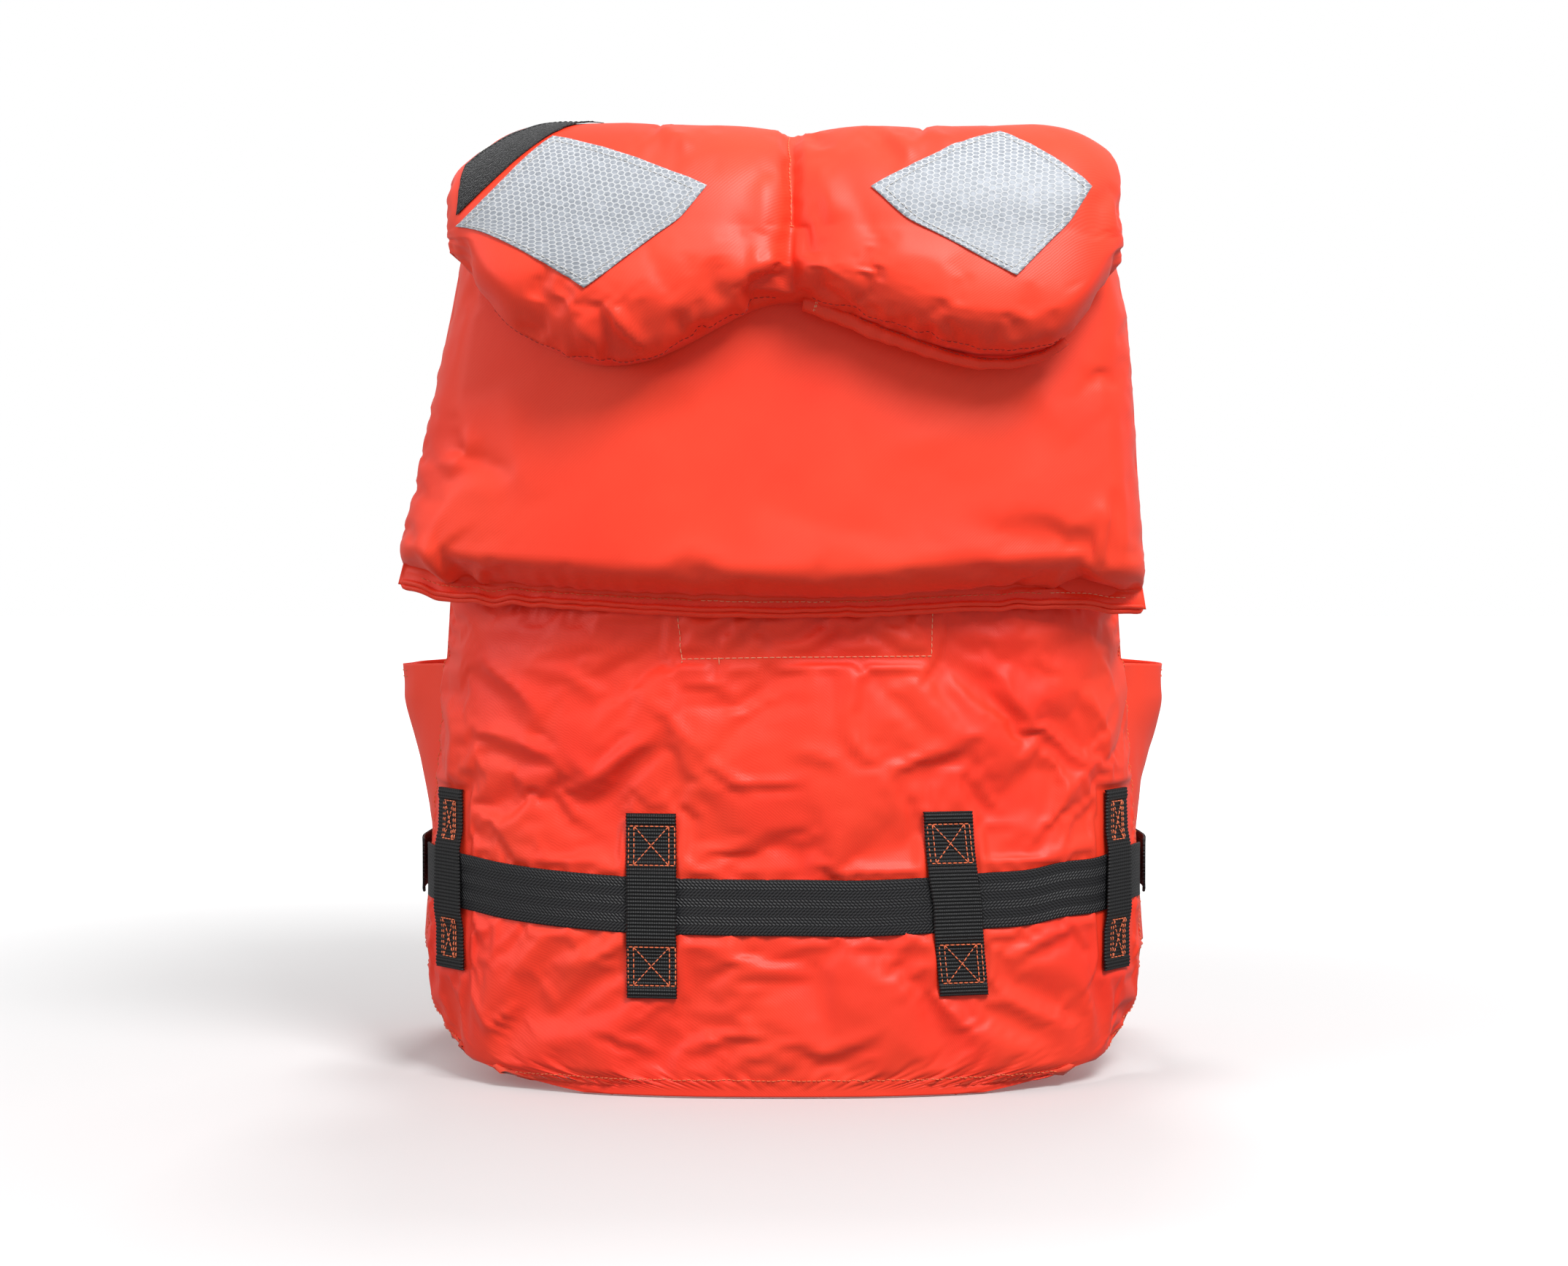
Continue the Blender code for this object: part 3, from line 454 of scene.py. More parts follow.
def sewn(name, lines, pitch, material, body, gauge=0.00030):
    """Sewn lines in real thread: every stitch is a short length that dips into the cloth at both ends."""
    starts, outs = [], []
    for points, out in lines:
        run = distance_along(points)
        count = max(1, int(run[-1] / pitch))
        first = np.arange(count)[:, None] * (run[-1] / count)
        at = first + np.linspace(0.10, 0.90, 5)[None] * (run[-1] / count)
        starts.append(read_along(at, run, points))
        outs.append(read_along(at, run, out))
    middle, out = np.concatenate(starts), np.concatenate(outs)
    middle = middle + out * (np.array([-0.4, 0.55, 0.9, 0.55, -0.4]) * gauge)[None, :, None]
    side = unit(np.cross(unit(np.gradient(middle, axis=1)), out))
    turn = np.radians(np.arange(0, 360, 60))
    radius = np.array([0.55, 0.95, 1.0, 0.95, 0.55]) * gauge
    ring = side[:, :, None] * np.cos(turn)[:, None] + out[:, :, None] * np.sin(turn)[:, None]
    points = middle[:, :, None] + ring * radius[None, :, None, None]
    index = np.arange(points.size // 3).reshape(points.shape[:3])
    after = np.roll(index, -1, axis=2)
    sides = np.stack([index[:, :-1], after[:, :-1], after[:, 1:], index[:, 1:]], -1).reshape(-1, 4).tolist()
    caps = index[:, 0, ::-1].tolist() + index[:, -1].tolist()
    ride_facing_out(make_mesh(name, points, sides + caps, None, material), body)


def spun_thread(name, colours):
    """Bonded polyester sewing thread: a matt, slightly fuzzy line with the twist of its plies."""
    material, shader = start_material(name, {"Roughness": 0.6, "Sheen Weight": 0.3, "Specular IOR Level": 0.4})
    place = add_node(material, "TexCoord", {}).outputs["Object"]
    # The plies turn once in 0.6 mm, drawn at 1.2 mm.
    ply = add_node(material, "TexNoise", {"Vector": place, "Scale": 800.0, "Detail": 2.0})
    tone = add_node(material, "Mix", {"Factor": ply, "A": colours[0], "B": colours[1]}, data_type="RGBA")
    bump = add_node(material, "Bump", {"Strength": 0.4, "Distance": 0.0003, "Height": ply})
    set_inputs(shader, {"Base Color": tone, "Normal": bump})
    return material


def matt_nylon(name, colours):
    """Plain-woven lining nylon: the same orange as the shell, duller and with no gloss."""
    material, shader = start_material(name, {"Roughness": 0.62, "Specular IOR Level": 0.35, "Sheen Weight": 0.15,
        "Sheen Roughness": 0.5})
    cloth = add_node(material, "UVMap", {}, uv_map="cloth")
    # Threads are 0.3 mm apart, drawn at 1.5 mm.
    weave = add_node(material, "TexChecker", {"Vector": cloth, "Scale": 1 / 0.0015})
    cloud = add_node(material, "TexNoise", {"Vector": cloth, "Scale": 14.0, "Detail": 4.0})
    tone = add_node(material, "Mix", {"Factor": cloud, "A": colours[0], "B": colours[1]}, data_type="RGBA")
    grain = add_node(material, "Bump", {"Strength": 0.12, "Distance": 0.0004, "Height": weave.outputs["Fac"]})
    bump = add_node(material, "Bump", {"Strength": 0.2, "Distance": 0.003, "Height": cloud, "Normal": grain})
    set_inputs(shader, {"Base Color": tone, "Normal": bump})
    return material


lining_nylon = matt_nylon("matt_nylon", ("#EE4A2E", "#E03A22"))
pale_thread = spun_thread("pale_polyester_thread", ("#F8B48E", "#F0966C"))
orange_thread = spun_thread("orange_polyester_thread", ("#EE7A48", "#DC6234"))


def lay_cloth(name, points, thick, toward, material, body, node, flat=None):
    """A thin sheet: its face where the points are, its thickness behind them."""
    outward = outward_of(points, toward)
    piece = sew_closed(name, points, points - outward * thick, material, body)
    if node:
        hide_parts(node)
    wide = float(np.linalg.norm(np.diff(points, axis=1), axis=2).sum(axis=1).max())
    long = float(np.linalg.norm(np.diff(points, axis=0), axis=2).sum(axis=0).max())
    flat = flat or (wide, long)
    return piece


inner = back_cloth.points[::2, ::2] - back_cloth.outward[::2, ::2] * 0.0026
lay_cloth("back_lining_cloth", inner, LINING, (0, -1, 0), lining_nylon, "back", "back_lining",
    flat=back_size)

left, right, low = NAME_PATCH
share, z = np.meshgrid(np.linspace(left, right, 40), np.linspace(0.270, 0.320, 14))
edge = np.interp(z, BACK_EDGE_Z, BACK_EDGE_TURN)
under, out = on_cloth(back_cloth, turn_at(share, z) / edge, z, -0.0016)
lay_cloth("name_patch", under, PATCH, (0, -1, 0), lining_nylon, "back", "back_patch_inner")


def back_seam(corners):
    """A line on the back cloth from corner to corner, each an (x, z) pair."""
    return seam_on(back_cloth, [(turn_at(x, z) / np.interp(z, BACK_EDGE_Z, BACK_EDGE_TURN), z) for x, z in corners])


patch_seam = back_seam([(left, UNDER_FLAP_Z), (left + 0.0035, low - 0.003), (left + 0.0035, low), (0.01, low + 0.0015),
    (right, low + 0.002), (right + 0.001, UNDER_FLAP_Z)])
sewn("name_patch_stitches", [patch_seam, back_seam([(left + 0.028, low + 0.002), (left + 0.0285, low - 0.004)])],
     0.0042, pale_thread, "back", 0.00033)
edge_shares = np.linspace(-0.985, 0.985, 40)
hem_seam = seam_on(back_cloth, [(share, HEM_SEAM_Z) for share in edge_shares])
side_seams = [seam_on(back_cloth, [(side, HEM_SEAM_Z), (side, 0.05), (side, 0.12), (side, 0.20), (side, 0.30)])
    for side in (-0.985, 0.985)]
sewn("hem_stitches", [hem_seam, *side_seams], 0.0034, orange_thread, "back", 0.00033)


# ---- Neck band, back belt and belt loops ----
# Black polypropylene webbing. The 38 mm belt is woven in a herringbone and runs loose through four loops of ribbed
# webbing, whose folded ends are sewn to the back cloth with a boxed cross in orange thread. Neck tape is sewn inside.

WEBBING = 0.0018
RIB_PITCH = 0.0024
RIB_HEIGHT = 0.00022
TAPE_Z = 0.561
INSIDE_BACK = -0.0062


def black_webbing(name, ribbed):
    """Woven polypropylene: nearly black, with a dull shine from its gloss, a painted highlight on each raised yarn and
    painted shade between them. Belt yarns run in a herringbone, loop yarns in ribs across. Yarns are about 1 mm wide,
    drawn 1.6 to 2.6 mm apart so that they show."""
    material, shader = start_material(name, {"Roughness": 0.50, "Specular IOR Level": 0.35})
    cloth = add_node(material, "UVMap", {}, uv_map="cloth")
    parts = add_node(material, "SeparateXYZ", {"Vector": cloth})
    across, along = parts.outputs["X"], parts.outputs["Y"]
    if ribbed:
        rib = add_node(material, "Math", {0: along, 1: 2 * math.pi / RIB_PITCH}, operation="MULTIPLY")
        yarn = add_node(material, "Math", {0: across, 1: 2 * math.pi / 0.0016}, operation="MULTIPLY")
    else:
        # The yarns slant one way and the other in stripes 6 mm wide.
        fold = add_node(material, "Math", {0: across, 1: 0.006}, operation="PINGPONG")
        slant = add_node(material, "Math", {0: fold, 1: along}, operation="ADD")
        rib = add_node(material, "Math", {0: slant, 1: 2 * math.pi / 0.0026}, operation="MULTIPLY")
        yarn = add_node(material, "Math", {0: across, 1: 2 * math.pi / 0.0020}, operation="MULTIPLY")
    ridge = add_node(material, "Math", {0: rib}, operation="SINE")
    bead = add_node(material, "Math", {0: yarn}, operation="SINE")
    both = add_node(material, "Math", {0: bead, 1: 0.45, 2: ridge}, operation="MULTIPLY_ADD")
    fuzz = add_node(material, "TexNoise", {"Vector": cloth, "Scale": 900.0, "Detail": 2.0})
    height = add_node(material, "Math", {0: fuzz, 1: 0.5, 2: both}, operation="MULTIPLY_ADD")
    # Painted highlight and shade: the colour is lighter on the raised yarns and darker in the hollows between them.
    yarn_painted_shade = add_node(material, "MapRange", {"Value": height, "From Min": -1.2, "From Max": 1.7})
    tone = add_node(material, "Mix", {"Factor": yarn_painted_shade, "A": "#050506", "B": "#1B1B1D" if ribbed else "#2C2C2F"},
        data_type="RGBA")
    bump = add_node(material, "Bump", {"Strength": 0.55, "Distance": 0.0005, "Height": height})
    set_inputs(shader, {"Base Color": tone, "Normal": bump})
    return material


belt_webbing = black_webbing("herringbone_webbing", False)
loop_webbing = black_webbing("ribbed_webbing", True)


def webbing(name, centre, across, out, width, thick, material, body, node, rib=0.0):
    """A flat woven strap along a line, with rounded selvedges, and real ribs across it where rib is their height."""
    centre, across, out = (np.broadcast_to(a, centre.shape) for a in (centre, across, out))
    run = distance_along(centre)
    thick = np.broadcast_to(thick, run.shape)
    flat = np.linspace(-1, 1, 11)
    bend = np.radians([60, 20, -20, -60])
    a = np.concatenate([flat, 1 + 0 * bend, flat[::-1], -1 + 0 * bend])
    b = np.concatenate([1 + 0 * flat, np.sin(bend), -1 + 0 * flat, -np.sin(bend)])
    bulge = np.concatenate([0 * flat, np.cos(bend), 0 * flat, -np.cos(bend)])
    selvedge = 1 + 0.16 * (np.abs(a) > 0.85)
    wave = rib * np.cos(2 * math.pi * run / RIB_PITCH)
    half = (width / 2 - thick / 2)[:, None] * a[None] + (thick / 2)[:, None] * bulge[None]
    half = half * (1 + wave / width * 2)[:, None]
    rise = (thick / 2 + wave)[:, None] * (b * selvedge)[None]
    rings = centre[:, None] + across[:, None] * half[..., None] + out[:, None] * rise[..., None]
    uv = np.stack([half, np.broadcast_to(run[:, None], half.shape)], -1)
    piece = tube(name, rings, uv, material, body)
    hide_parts(node)


UP = np.array([0.0, 0.0, 1.0])
turn = np.linspace(-18, 18, 60)
band = around_back(turn, TAPE_Z + 0 * turn, INSIDE_BACK)
webbing("neck_tape", band, UP, around_back(turn, TAPE_Z, 0.0) - around_back(turn, TAPE_Z, -1.0), 0.026, WEBBING,
        belt_webbing, "back", "neck_band")

turn = np.linspace(-80.4, 80.4, 320)
level = belt_height(turn) + 0.0009 * ripple(turn / 9, 0 * turn, 8)
out = around_back(turn, level, 1.0) - around_back(turn, level, 0.0)
webbing("belt_behind", around_back(turn, level, 0.0008 + WEBBING / 2), UP, out, 2 * BELT_HALF, WEBBING, belt_webbing,
        "back", "belt_back")

LIFT_DZ = [-0.064, -0.062, -0.034, -0.0215, 0.0215, 0.034, 0.062, 0.064]
LIFT = [0.0006, 0.0006, 0.0008, 0.0032, 0.0032, 0.0008, 0.0006, 0.0006]


def boxed_cross(face, width, low, high):
    """The lines of a boxed cross: top, bottom, two lines down each side, and the cross."""
    half, inner = width / 2 - 0.0045, width / 2 - 0.0075
    ends = [((-half, low), (half, low)), ((-half, high), (half, high)), ((-half, low), (-half, high)),
            ((half, low), (half, high)), ((-inner, low), (-inner, high)), ((inner, low), (inner, high)),
            ((-inner, low), (inner, high)), ((inner, low), (-inner, high))]
    return [face(np.linspace(a, c, 12), np.linspace(b, d, 12)) for (a, b), (c, d) in ends]


for name, (place, lean, width) in LOOPS.items():
    middle = float(belt_height(turn_at(place, BELT_Z)))

    def loop_face(across, dz, lift=0.0):
        z = middle + dz
        turn = turn_at(place + lean * dz, z) + np.degrees(across / 0.2)
        rise = np.interp(dz, LIFT_DZ, LIFT) + lift
        return around_back(turn, z, rise), around_back(turn, z, 1.0) - around_back(turn, z, 0.0)

    dz = np.linspace(-0.062, 0.062, 300)
    wander = 0.0005 * ripple(dz / 0.02, 0 * dz, len(name) + place * 90)
    centre, out = loop_face(wander, dz, WEBBING / 2)
    beside, _ = loop_face(wander + 0.01, dz, WEBBING / 2)
    across = (beside - centre) / np.linalg.norm(beside - centre, axis=1, keepdims=True)
    # The ends are folded under, so the last 7 mm are two layers thick.
    folded_end = np.clip((np.abs(dz) - 0.0545) / 0.0008, 0, 1) * np.clip((0.0622 - np.abs(dz)) / 0.0012, 0.35, 1)
    webbing(name.replace("loop", "belt_loop"), centre + out * (folded_end * 0.0004)[:, None], across, out, width,
            WEBBING + folded_end * 0.0010, loop_webbing, "back", name, rib=RIB_HEIGHT)
    lines = boxed_cross(lambda a, b: loop_face(a, b, WEBBING + 0.0002), width, 0.0275, 0.0535)
    lines += boxed_cross(lambda a, b: loop_face(a, b, WEBBING + 0.0002), width, -0.0535, -0.0275)
    sewn(name + "_stitches", lines, 0.0033, orange_thread, "back", 0.00042)


# ---- Back flap ----
# A pad of two foam sheets in a nylon cover, hung from the neckline over the lower back. Its cover and backing are
# sewn together below the foam, and their two raw edges are rolled into a double welt that waves where it is gathered.

FLAP_LEFT = ([0.32, 0.343, 0.373, 0.403, 0.463, 0.522, 0.60], [-.2650, -.2625, -.2545, -.2450, -.2350, -.2220, -.206])
FLAP_RIGHT = ([0.32, 0.343, 0.403, 0.463, 0.522, 0.60], [0.2465, 0.2425, 0.2375, 0.2335, 0.2285, 0.211])
FLAP_HEM = ([0, 0.03, 0.08, 0.13, 0.2, 0.35, 0.5, 0.65, 0.8, 0.9, 0.94, 0.975, 1],
    [0.3440, 0.3385, 0.3340, 0.3325, 0.3310, 0.3262, 0.3240, 0.3252, 0.3292, 0.3300, 0.3280, 0.3245, 0.3265])
FLAP_TOP = 0.600
FLAP_Y = BODY_Y - 0.140
FLAP_WIDE = 0.49
FLAP_LONG = 0.27
FLAP_ROUND = 0.035
SKIN = 0.0002


def rounded(distance, radius):
    left = 1 - np.clip(distance, 0, radius) / radius
    return np.sqrt(1 - left ** 2)


def smooth_step(at, low, high):
    share = np.clip((at - low) / (high - low), 0, 1)
    return share * share * (3 - 2 * share)


def pad_cover(name, node, face, base, rows, columns, toward, body):
    """The nylon cover of a foam pad, from its face and its flat underside. Returns the face, for seams to lie on."""
    cover = sew_closed(name, face, base - outward_of(base, toward) * SKIN, nylon, body)
    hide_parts(node)
    return Cloth(face, outward_of(face, toward), rows, columns)


def pad_backing(name, node, base, gap, toward, body):
    """The lining behind a pad, two grid steps in from its edge."""
    inner = (base - outward_of(base, toward) * gap)[2:-2:2, 2:-2:2]
    lay_cloth(name, inner, LINING, toward, lining_nylon, body, node)


def hem_wave(x):
    """How far the welt waves up and down: most at the gathered corners."""
    gathered = 0.35 + smooth_step(-x, 0.13, 0.20) * 1.5 + smooth_step(x, 0.10, 0.17) * 0.7
    return 0.0011 * gathered * ripple(x / 0.013, 0 * x, 4) + 0.0004 * ripple(x / 0.007, 0 * x, 6)


def flap_base(u, v):
    hem = sum(np.interp(u + step, *FLAP_HEM) for step in (-0.02, -0.01, 0, 0.01, 0.02)) / 5
    z = FLAP_TOP - v * (FLAP_TOP - hem)
    left, right = np.interp(z, *FLAP_LEFT), np.interp(z, *FLAP_RIGHT)
    x = left + (right - left) * u
    wave = hem_wave(x) * smooth_step(v, 0.93, 1.0)
    return np.stack([x, FLAP_Y + 0.75 * x ** 2 - 0.6 * wave, z + wave], -1)


def flap_rise(u, v):
    side = rounded(np.minimum(u, 1 - u) * FLAP_WIDE, FLAP_ROUND)
    top = rounded(v * FLAP_LONG, FLAP_ROUND)
    hem = rounded(np.maximum((1 - v) * FLAP_LONG - 0.013, 0), 0.019)
    return np.maximum(0.0022 * smooth_step(v, 0.86, 0.90), 0.0445 * side * top * hem)


edge = np.array([0, 0.0007, 0.002, 0.0045, 0.008, 0.013, 0.019, 0.027, FLAP_ROUND])
flap_columns = spread(FLAP_WIDE, edge, 0.0052) / FLAP_WIDE
hem_rows = FLAP_LONG - np.array([0.043, 0.037, 0.031, 0.026, 0.022, 0.0185, 0.0160, 0.0142, 0.0130, 0.0105, 0.0075,
                                 0.004, 0])
flap_rows = np.concatenate([edge, np.arange(0.040, 0.224, 0.0052), hem_rows]) / FLAP_LONG
u, v = np.meshgrid(flap_columns, flap_rows)
base = flap_base(u, v)
outward = outward_of(base, (0, -1, 0))
face = base + outward * (flap_rise(u, v) + SKIN)[..., None]
flap_folds = [
    (-.224, .438, -.176, .416, 9, -2.2), (-.234, .425, -.200, .438, 7, 2.0), (-.243, .372, -.222, .340, 6, 3.0),
    (-.226, .366, -.208, .342, 6, -2.4), (-.205, .352, -.190, .338, 6, 1.8), (.196, .352, .240, .341, 5, 2.8),
    (.186, .345, .236, .335, 5, -2.4), (.200, .392, .232, .366, 8, 1.8), (.215, .405, .222, .355, 6, -1.6),
    (-.15, .50, -.05, .47, 16, 1.2), (.05, .43, .16, .45, 20, 1.0), (-.02, .40, .08, .37, 18, -1.0),
    (-.19, .47, -.16, .40, 14, 1.0), (.14, .50, .19, .44, 14, 1.2), (-.10, .362, .02, .355, 10, 1.2),
    (.05, .358, .17, .362, 9, 1.2)]
inside = smooth_step(np.minimum(u, 1 - u), 0.004, 0.05) * smooth_step(v, 0.01, 0.1) * smooth_step(1 - v, 0.0, 0.03)
swell = 1.4 * folded(face[..., 0], face[..., 2], flap_folds) * inside
face = lifted(face, (0, -1, 0), swell)
fixed = np.ones_like(u)
fixed[2:-3, 2:-2] = 0
face = settle(face, base - outward * SKIN, fixed, 1.2, 0.022, 0.0042)
face, base, rows, columns = finer(face), finer(base), finer(flap_rows), finer(flap_columns)
u, v = np.meshgrid(columns, rows)
# Small gathers stand above the welt and along the two side edges, where the seam draws the cloth in.
gather = np.exp(-((1 - v) * FLAP_LONG - 0.012) ** 2 / 0.00011) * ripple(face[..., 0] / 0.0065, v * 3, 9) * 0.0009
gather += np.exp(-(np.minimum(u, 1 - u) * FLAP_WIDE / 0.012) ** 2) * ripple(face[..., 2] / 0.011, u * 3, 10) * 0.0010
gather += 0.0005 * ripple(face[..., 0] / 0.06, face[..., 2] / 0.05, 11)
face = lifted(face, (0, -1, 0), gather * smooth_step(np.minimum(u, 1 - u), 0, 0.006))
flap_cloth = pad_cover("flap_cover", "flap_shell", face, base, rows, columns, (0, -1, 0), "flap")
pad_backing("flap_backing", "flap_lining", base, 0.0005, (0, -1, 0), "flap")


def cord(name, path, radius, material, body, node=None, squeeze=1.0, wobble=0.0, capped=True):
    """A round or flattened roll of cloth along a path."""
    run = distance_along(path)
    ahead = unit(np.gradient(path, axis=0))
    side = unit(np.cross(ahead, UP))
    rise = np.cross(side, ahead)
    turn = np.radians(np.arange(0, 360, 30))
    uneven = 1 + wobble * ripple(run[:, None] / 0.006, turn[None] * 1.3, 7)
    size = np.broadcast_to(radius, run.shape)[:, None] * uneven
    if capped:
        size[[0, -1]] *= 0.35
    rings = path[:, None] + side[:, None] * (np.cos(turn) * size * squeeze)[..., None]
    rings = rings + rise[:, None] * (np.sin(turn) * size)[..., None]
    uv = np.stack([np.broadcast_to(turn / 6.3 * 0.02, size.shape), np.broadcast_to(run[:, None], size.shape)], -1)
    piece = tube(name, rings, uv, material, body, capped)
    if node:
        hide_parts(node)
    return piece


u = np.linspace(0.003, 0.997, 260)
hem_line = flap_base(u, 1 + 0 * u)
bow = 0.0007 * ripple(hem_line[:, 0] / 0.017, 0 * u, 12)
welt_ends = smooth_step(np.minimum(u, 1 - u), 0, 0.012)
cord("flap_welt_lower", hem_line + np.stack([0 * u, -0.0012 - bow, -0.0012 * welt_ends], -1), 0.0021, nylon, "flap",
     "flap_hem_welt", squeeze=1.3, wobble=0.10)
cord("flap_welt_upper", hem_line + np.stack([0 * u, -0.0034 + bow, 0.0022 + 0.4 * bow], -1), 0.0018, nylon, "flap",
     squeeze=1.2, wobble=0.12)
above = 1 - 0.0078 / FLAP_LONG
spans = [(0.41, 0.58, pale_thread, "flap_hem_stitches_pale"), (0.03, 0.40, orange_thread, "flap_hem_stitches_left"),
    (0.59, 0.86, orange_thread, "flap_hem_stitches_right"), (0.87, 0.975, pale_thread, "flap_corner_stitches")]
for start, end, thread, name in spans:
    sewn(name, [seam_on(flap_cloth, [(share, above) for share in np.linspace(start, end, 12)])], 0.0040,
         thread, "flap")


# ---- Head pillow ----
# Two lobes of foam in a nylon cover, divided by a dart and folded back from the neckline to lie over the flap. Its
# lower edge is a gathered seam on the left lobe, and on the right lobe a casing of rolled nylon, open at the middle.

PILLOW_HALF = 0.216
PILLOW_ROUND = 0.048
PILLOW_FLAT = 0.016
PILLOW_TURN = 0.035
PILLOW_START = (BODY_Y - 0.1380, 0.6060)
PILLOW_BEND = PILLOW_FLAT + PILLOW_TURN * math.pi / 2
PILLOW_HEM = ([-.216, -.184, -.168, -.134, -.101, -.067, -.034, 0, .034, .067, .101, .134, .168, .184, .216],
    [.566, .519, .505, .486, .483, .494, .514, .5275, .519, .506, .494, .488, .493, .5015, .560])


def pillow_length(x):
    hem = sum(np.interp(x + step, *PILLOW_HEM) for step in (-0.018, -0.009, 0, 0.009, 0.018)) / 5
    return PILLOW_BEND + PILLOW_START[1] - PILLOW_TURN - hem


def pillow_reach(u, v):
    x = (2 * u - 1) * PILLOW_HALF
    return x, np.minimum(2 * v, 1) * PILLOW_BEND + np.maximum(2 * v - 1, 0) * (pillow_length(x) - PILLOW_BEND)


def pillow_under(x, reach):
    """The pillow's underside: level from the neckline, round a bend, then down."""
    turn = np.clip((reach - PILLOW_FLAT) / PILLOW_TURN, 0, math.pi / 2)
    y = PILLOW_START[0] - np.minimum(reach, PILLOW_FLAT) - PILLOW_TURN * np.sin(turn)
    z = PILLOW_START[1] - PILLOW_TURN * (1 - np.cos(turn)) - np.maximum(reach - PILLOW_BEND, 0)
    return np.stack([x, y + 0.25 * x ** 2 * smooth_step(reach, 0, PILLOW_BEND), z], -1)


def pillow_rise(x, reach):
    side = rounded(PILLOW_HALF - np.abs(x), PILLOW_ROUND)
    ends = rounded(reach, PILLOW_ROUND) * rounded(pillow_length(x) - reach, 0.028)
    # The foam is pressed thinner where the pillow bends over the neckline.
    ends = ends * (1 - 0.24 * (1 - smooth_step(reach, 0.035, 0.125)))
    # The dart is sewn down from the top to half way; below it the two lobes press together in a shallow valley.
    dart = smooth_step(reach, 0.020, 0.050) * (1 - smooth_step(reach, 0.100, 0.135))
    valley = 1 - 0.16 * np.exp(-((x - 0.008) / 0.026) ** 2) - 0.17 * dart * np.exp(-((x - 0.004) / 0.0065) ** 2)
    lobes = 1 + 0.05 * np.exp(-((x + 0.10) / 0.06) ** 2) + 0.05 * np.exp(-((x - 0.11) / 0.06) ** 2)
    return 0.0515 * side * ends * valley * lobes


steps = np.array([0, 0.0007, 0.002, 0.0045, 0.008, 0.0125, 0.018, 0.0245, 0.032, 0.040, PILLOW_ROUND])
pillow_columns = spread(2 * PILLOW_HALF, steps, 0.0048) / (2 * PILLOW_HALF)
pillow_rows = np.concatenate([[0, 0.004, 0.012, 0.026, 0.045], np.arange(0.075, 0.90, 0.0225),
    [0.915, 0.940, 0.962, 0.980, 0.992, 1]])
u, v = np.meshgrid(pillow_columns, pillow_rows)
x, reach = pillow_reach(u, v)
base = pillow_under(x, reach)
toward = (0, -1, 0.3)
outward = outward_of(base, toward)
face = base + outward * (pillow_rise(x, reach) + SKIN)[..., None]
pillow_folds = [
    (-.186, .515, -.164, .490, 6, 3.2), (-.112, .5146, -.086, .493, 6, 2.8), (-.132, .505, -.116, .483, 6, 2.4),
    (-.156, .500, -.144, .486, 5, 2.0), (-.002, .545, -.028, .518, 7, -4.0), (-.024, .545, -.004, .548, 7, 2.2),
    (-.060, .512, -.018, .510, 5, 2.2), (-.075, .505, -.050, .498, 5, -2.0), (.010, .572, .018, .545, 6, -2.0),
    (.012, .545, .050, .526, 8, 2.0), (.020, .535, .060, .512, 6, -1.8), (.094, .512, .104, .500, 4, 1.8),
    (.135, .500, .160, .505, 5, 1.8), (.188, .508, .204, .525, 6, -2.2), (.160, .494, .195, .506, 5, 2.4),
    (.062, .628, .080, .609, 7, 1.8), (-.080, .632, -.056, .622, 8, 2.0), (.088, .632, .110, .622, 7, 1.8),
    (-.208, .558, -.198, .545, 5, -2.2), (-.206, .540, -.196, .530, 5, 2.4), (.205, .592, .210, .565, 6, 1.8),
    (-.015, .60, -.010, .56, 8, 1.4), (.020, .61, .028, .57, 9, 1.4), (.060, .555, .110, .535, 14, 1.2),
    (-.080, .545, -.030, .560, 14, 1.2), (-.150, .530, -.125, .515, 9, 1.4), (.035, .600, .060, .560, 10, -1.0)]
inside = smooth_step(np.minimum(u, 1 - u), 0.004, 0.04) * smooth_step(v, 0.05, 0.25) * smooth_step(1 - v, 0, 0.10)
swell = 1.6 * folded(face[..., 0], face[..., 2], pillow_folds) * inside
face = lifted(face, toward, swell)
fixed = np.ones_like(u)
fixed[2:-2, 2:-2] = 0
along_dart = (np.abs(x - 0.004) < 0.0030) & (reach > 0.03) & (reach < 0.108)
face = settle(face, base - outward * SKIN, np.maximum(fixed, along_dart), 2.4, 0.030, 0.0055)


def sagged(points):
    """The left shoulder of the pillow droops a little further than the right."""
    drop = 0.012 * smooth_step(-points[..., 0], 0.135, 0.215) ** 1.5 * smooth_step(points[..., 2], 0.56, 0.64)
    return points - np.stack([0 * drop, 0 * drop, drop], -1)


face, base, rows, columns = finer(face), finer(base), finer(pillow_rows), finer(pillow_columns)
u, v = np.meshgrid(columns, rows)
# The gathered seam: short puckers run up from the lower edge, deepest on the left lobe.
near_hem = np.exp(-((1 - v) * 0.16 / 0.014) ** 2) * smooth_step(1 - v, 0.0, 0.02)
left_lobe = 0.5 + 0.9 * smooth_step(-face[..., 0], -0.02, 0.03)
gather = near_hem * ripple(face[..., 0] / 0.0065, v * 6, 14) * 0.0020 * left_lobe
near_side = np.exp(-(np.minimum(u, 1 - u) * 0.43 / 0.012) ** 2) * smooth_step(np.minimum(u, 1 - u), 0, 0.006)
gather += near_side * ripple(u * 4, v / 0.07, 15) * 0.0022
near_dart = np.exp(-((face[..., 0] - 0.004) / 0.012) ** 2) * smooth_step(v, 0.15, 0.3) * (1 - smooth_step(v, 0.6, 0.7))
gather += near_dart * ripple(face[..., 0] / 0.02, v / 0.05, 16) * 0.0006
gather += 0.0008 * ripple(face[..., 0] / 0.045, face[..., 2] / 0.035, 17) * smooth_step(1 - v, 0, 0.1)
face, base = sagged(lifted(face, toward, gather)), sagged(base)
pillow_cloth = pad_cover("pillow_cover", "pillow_shell", face, base, rows, columns, toward, "pillow")
pad_backing("pillow_backing", "pillow_lining", base, 0.0006, toward, "pillow")


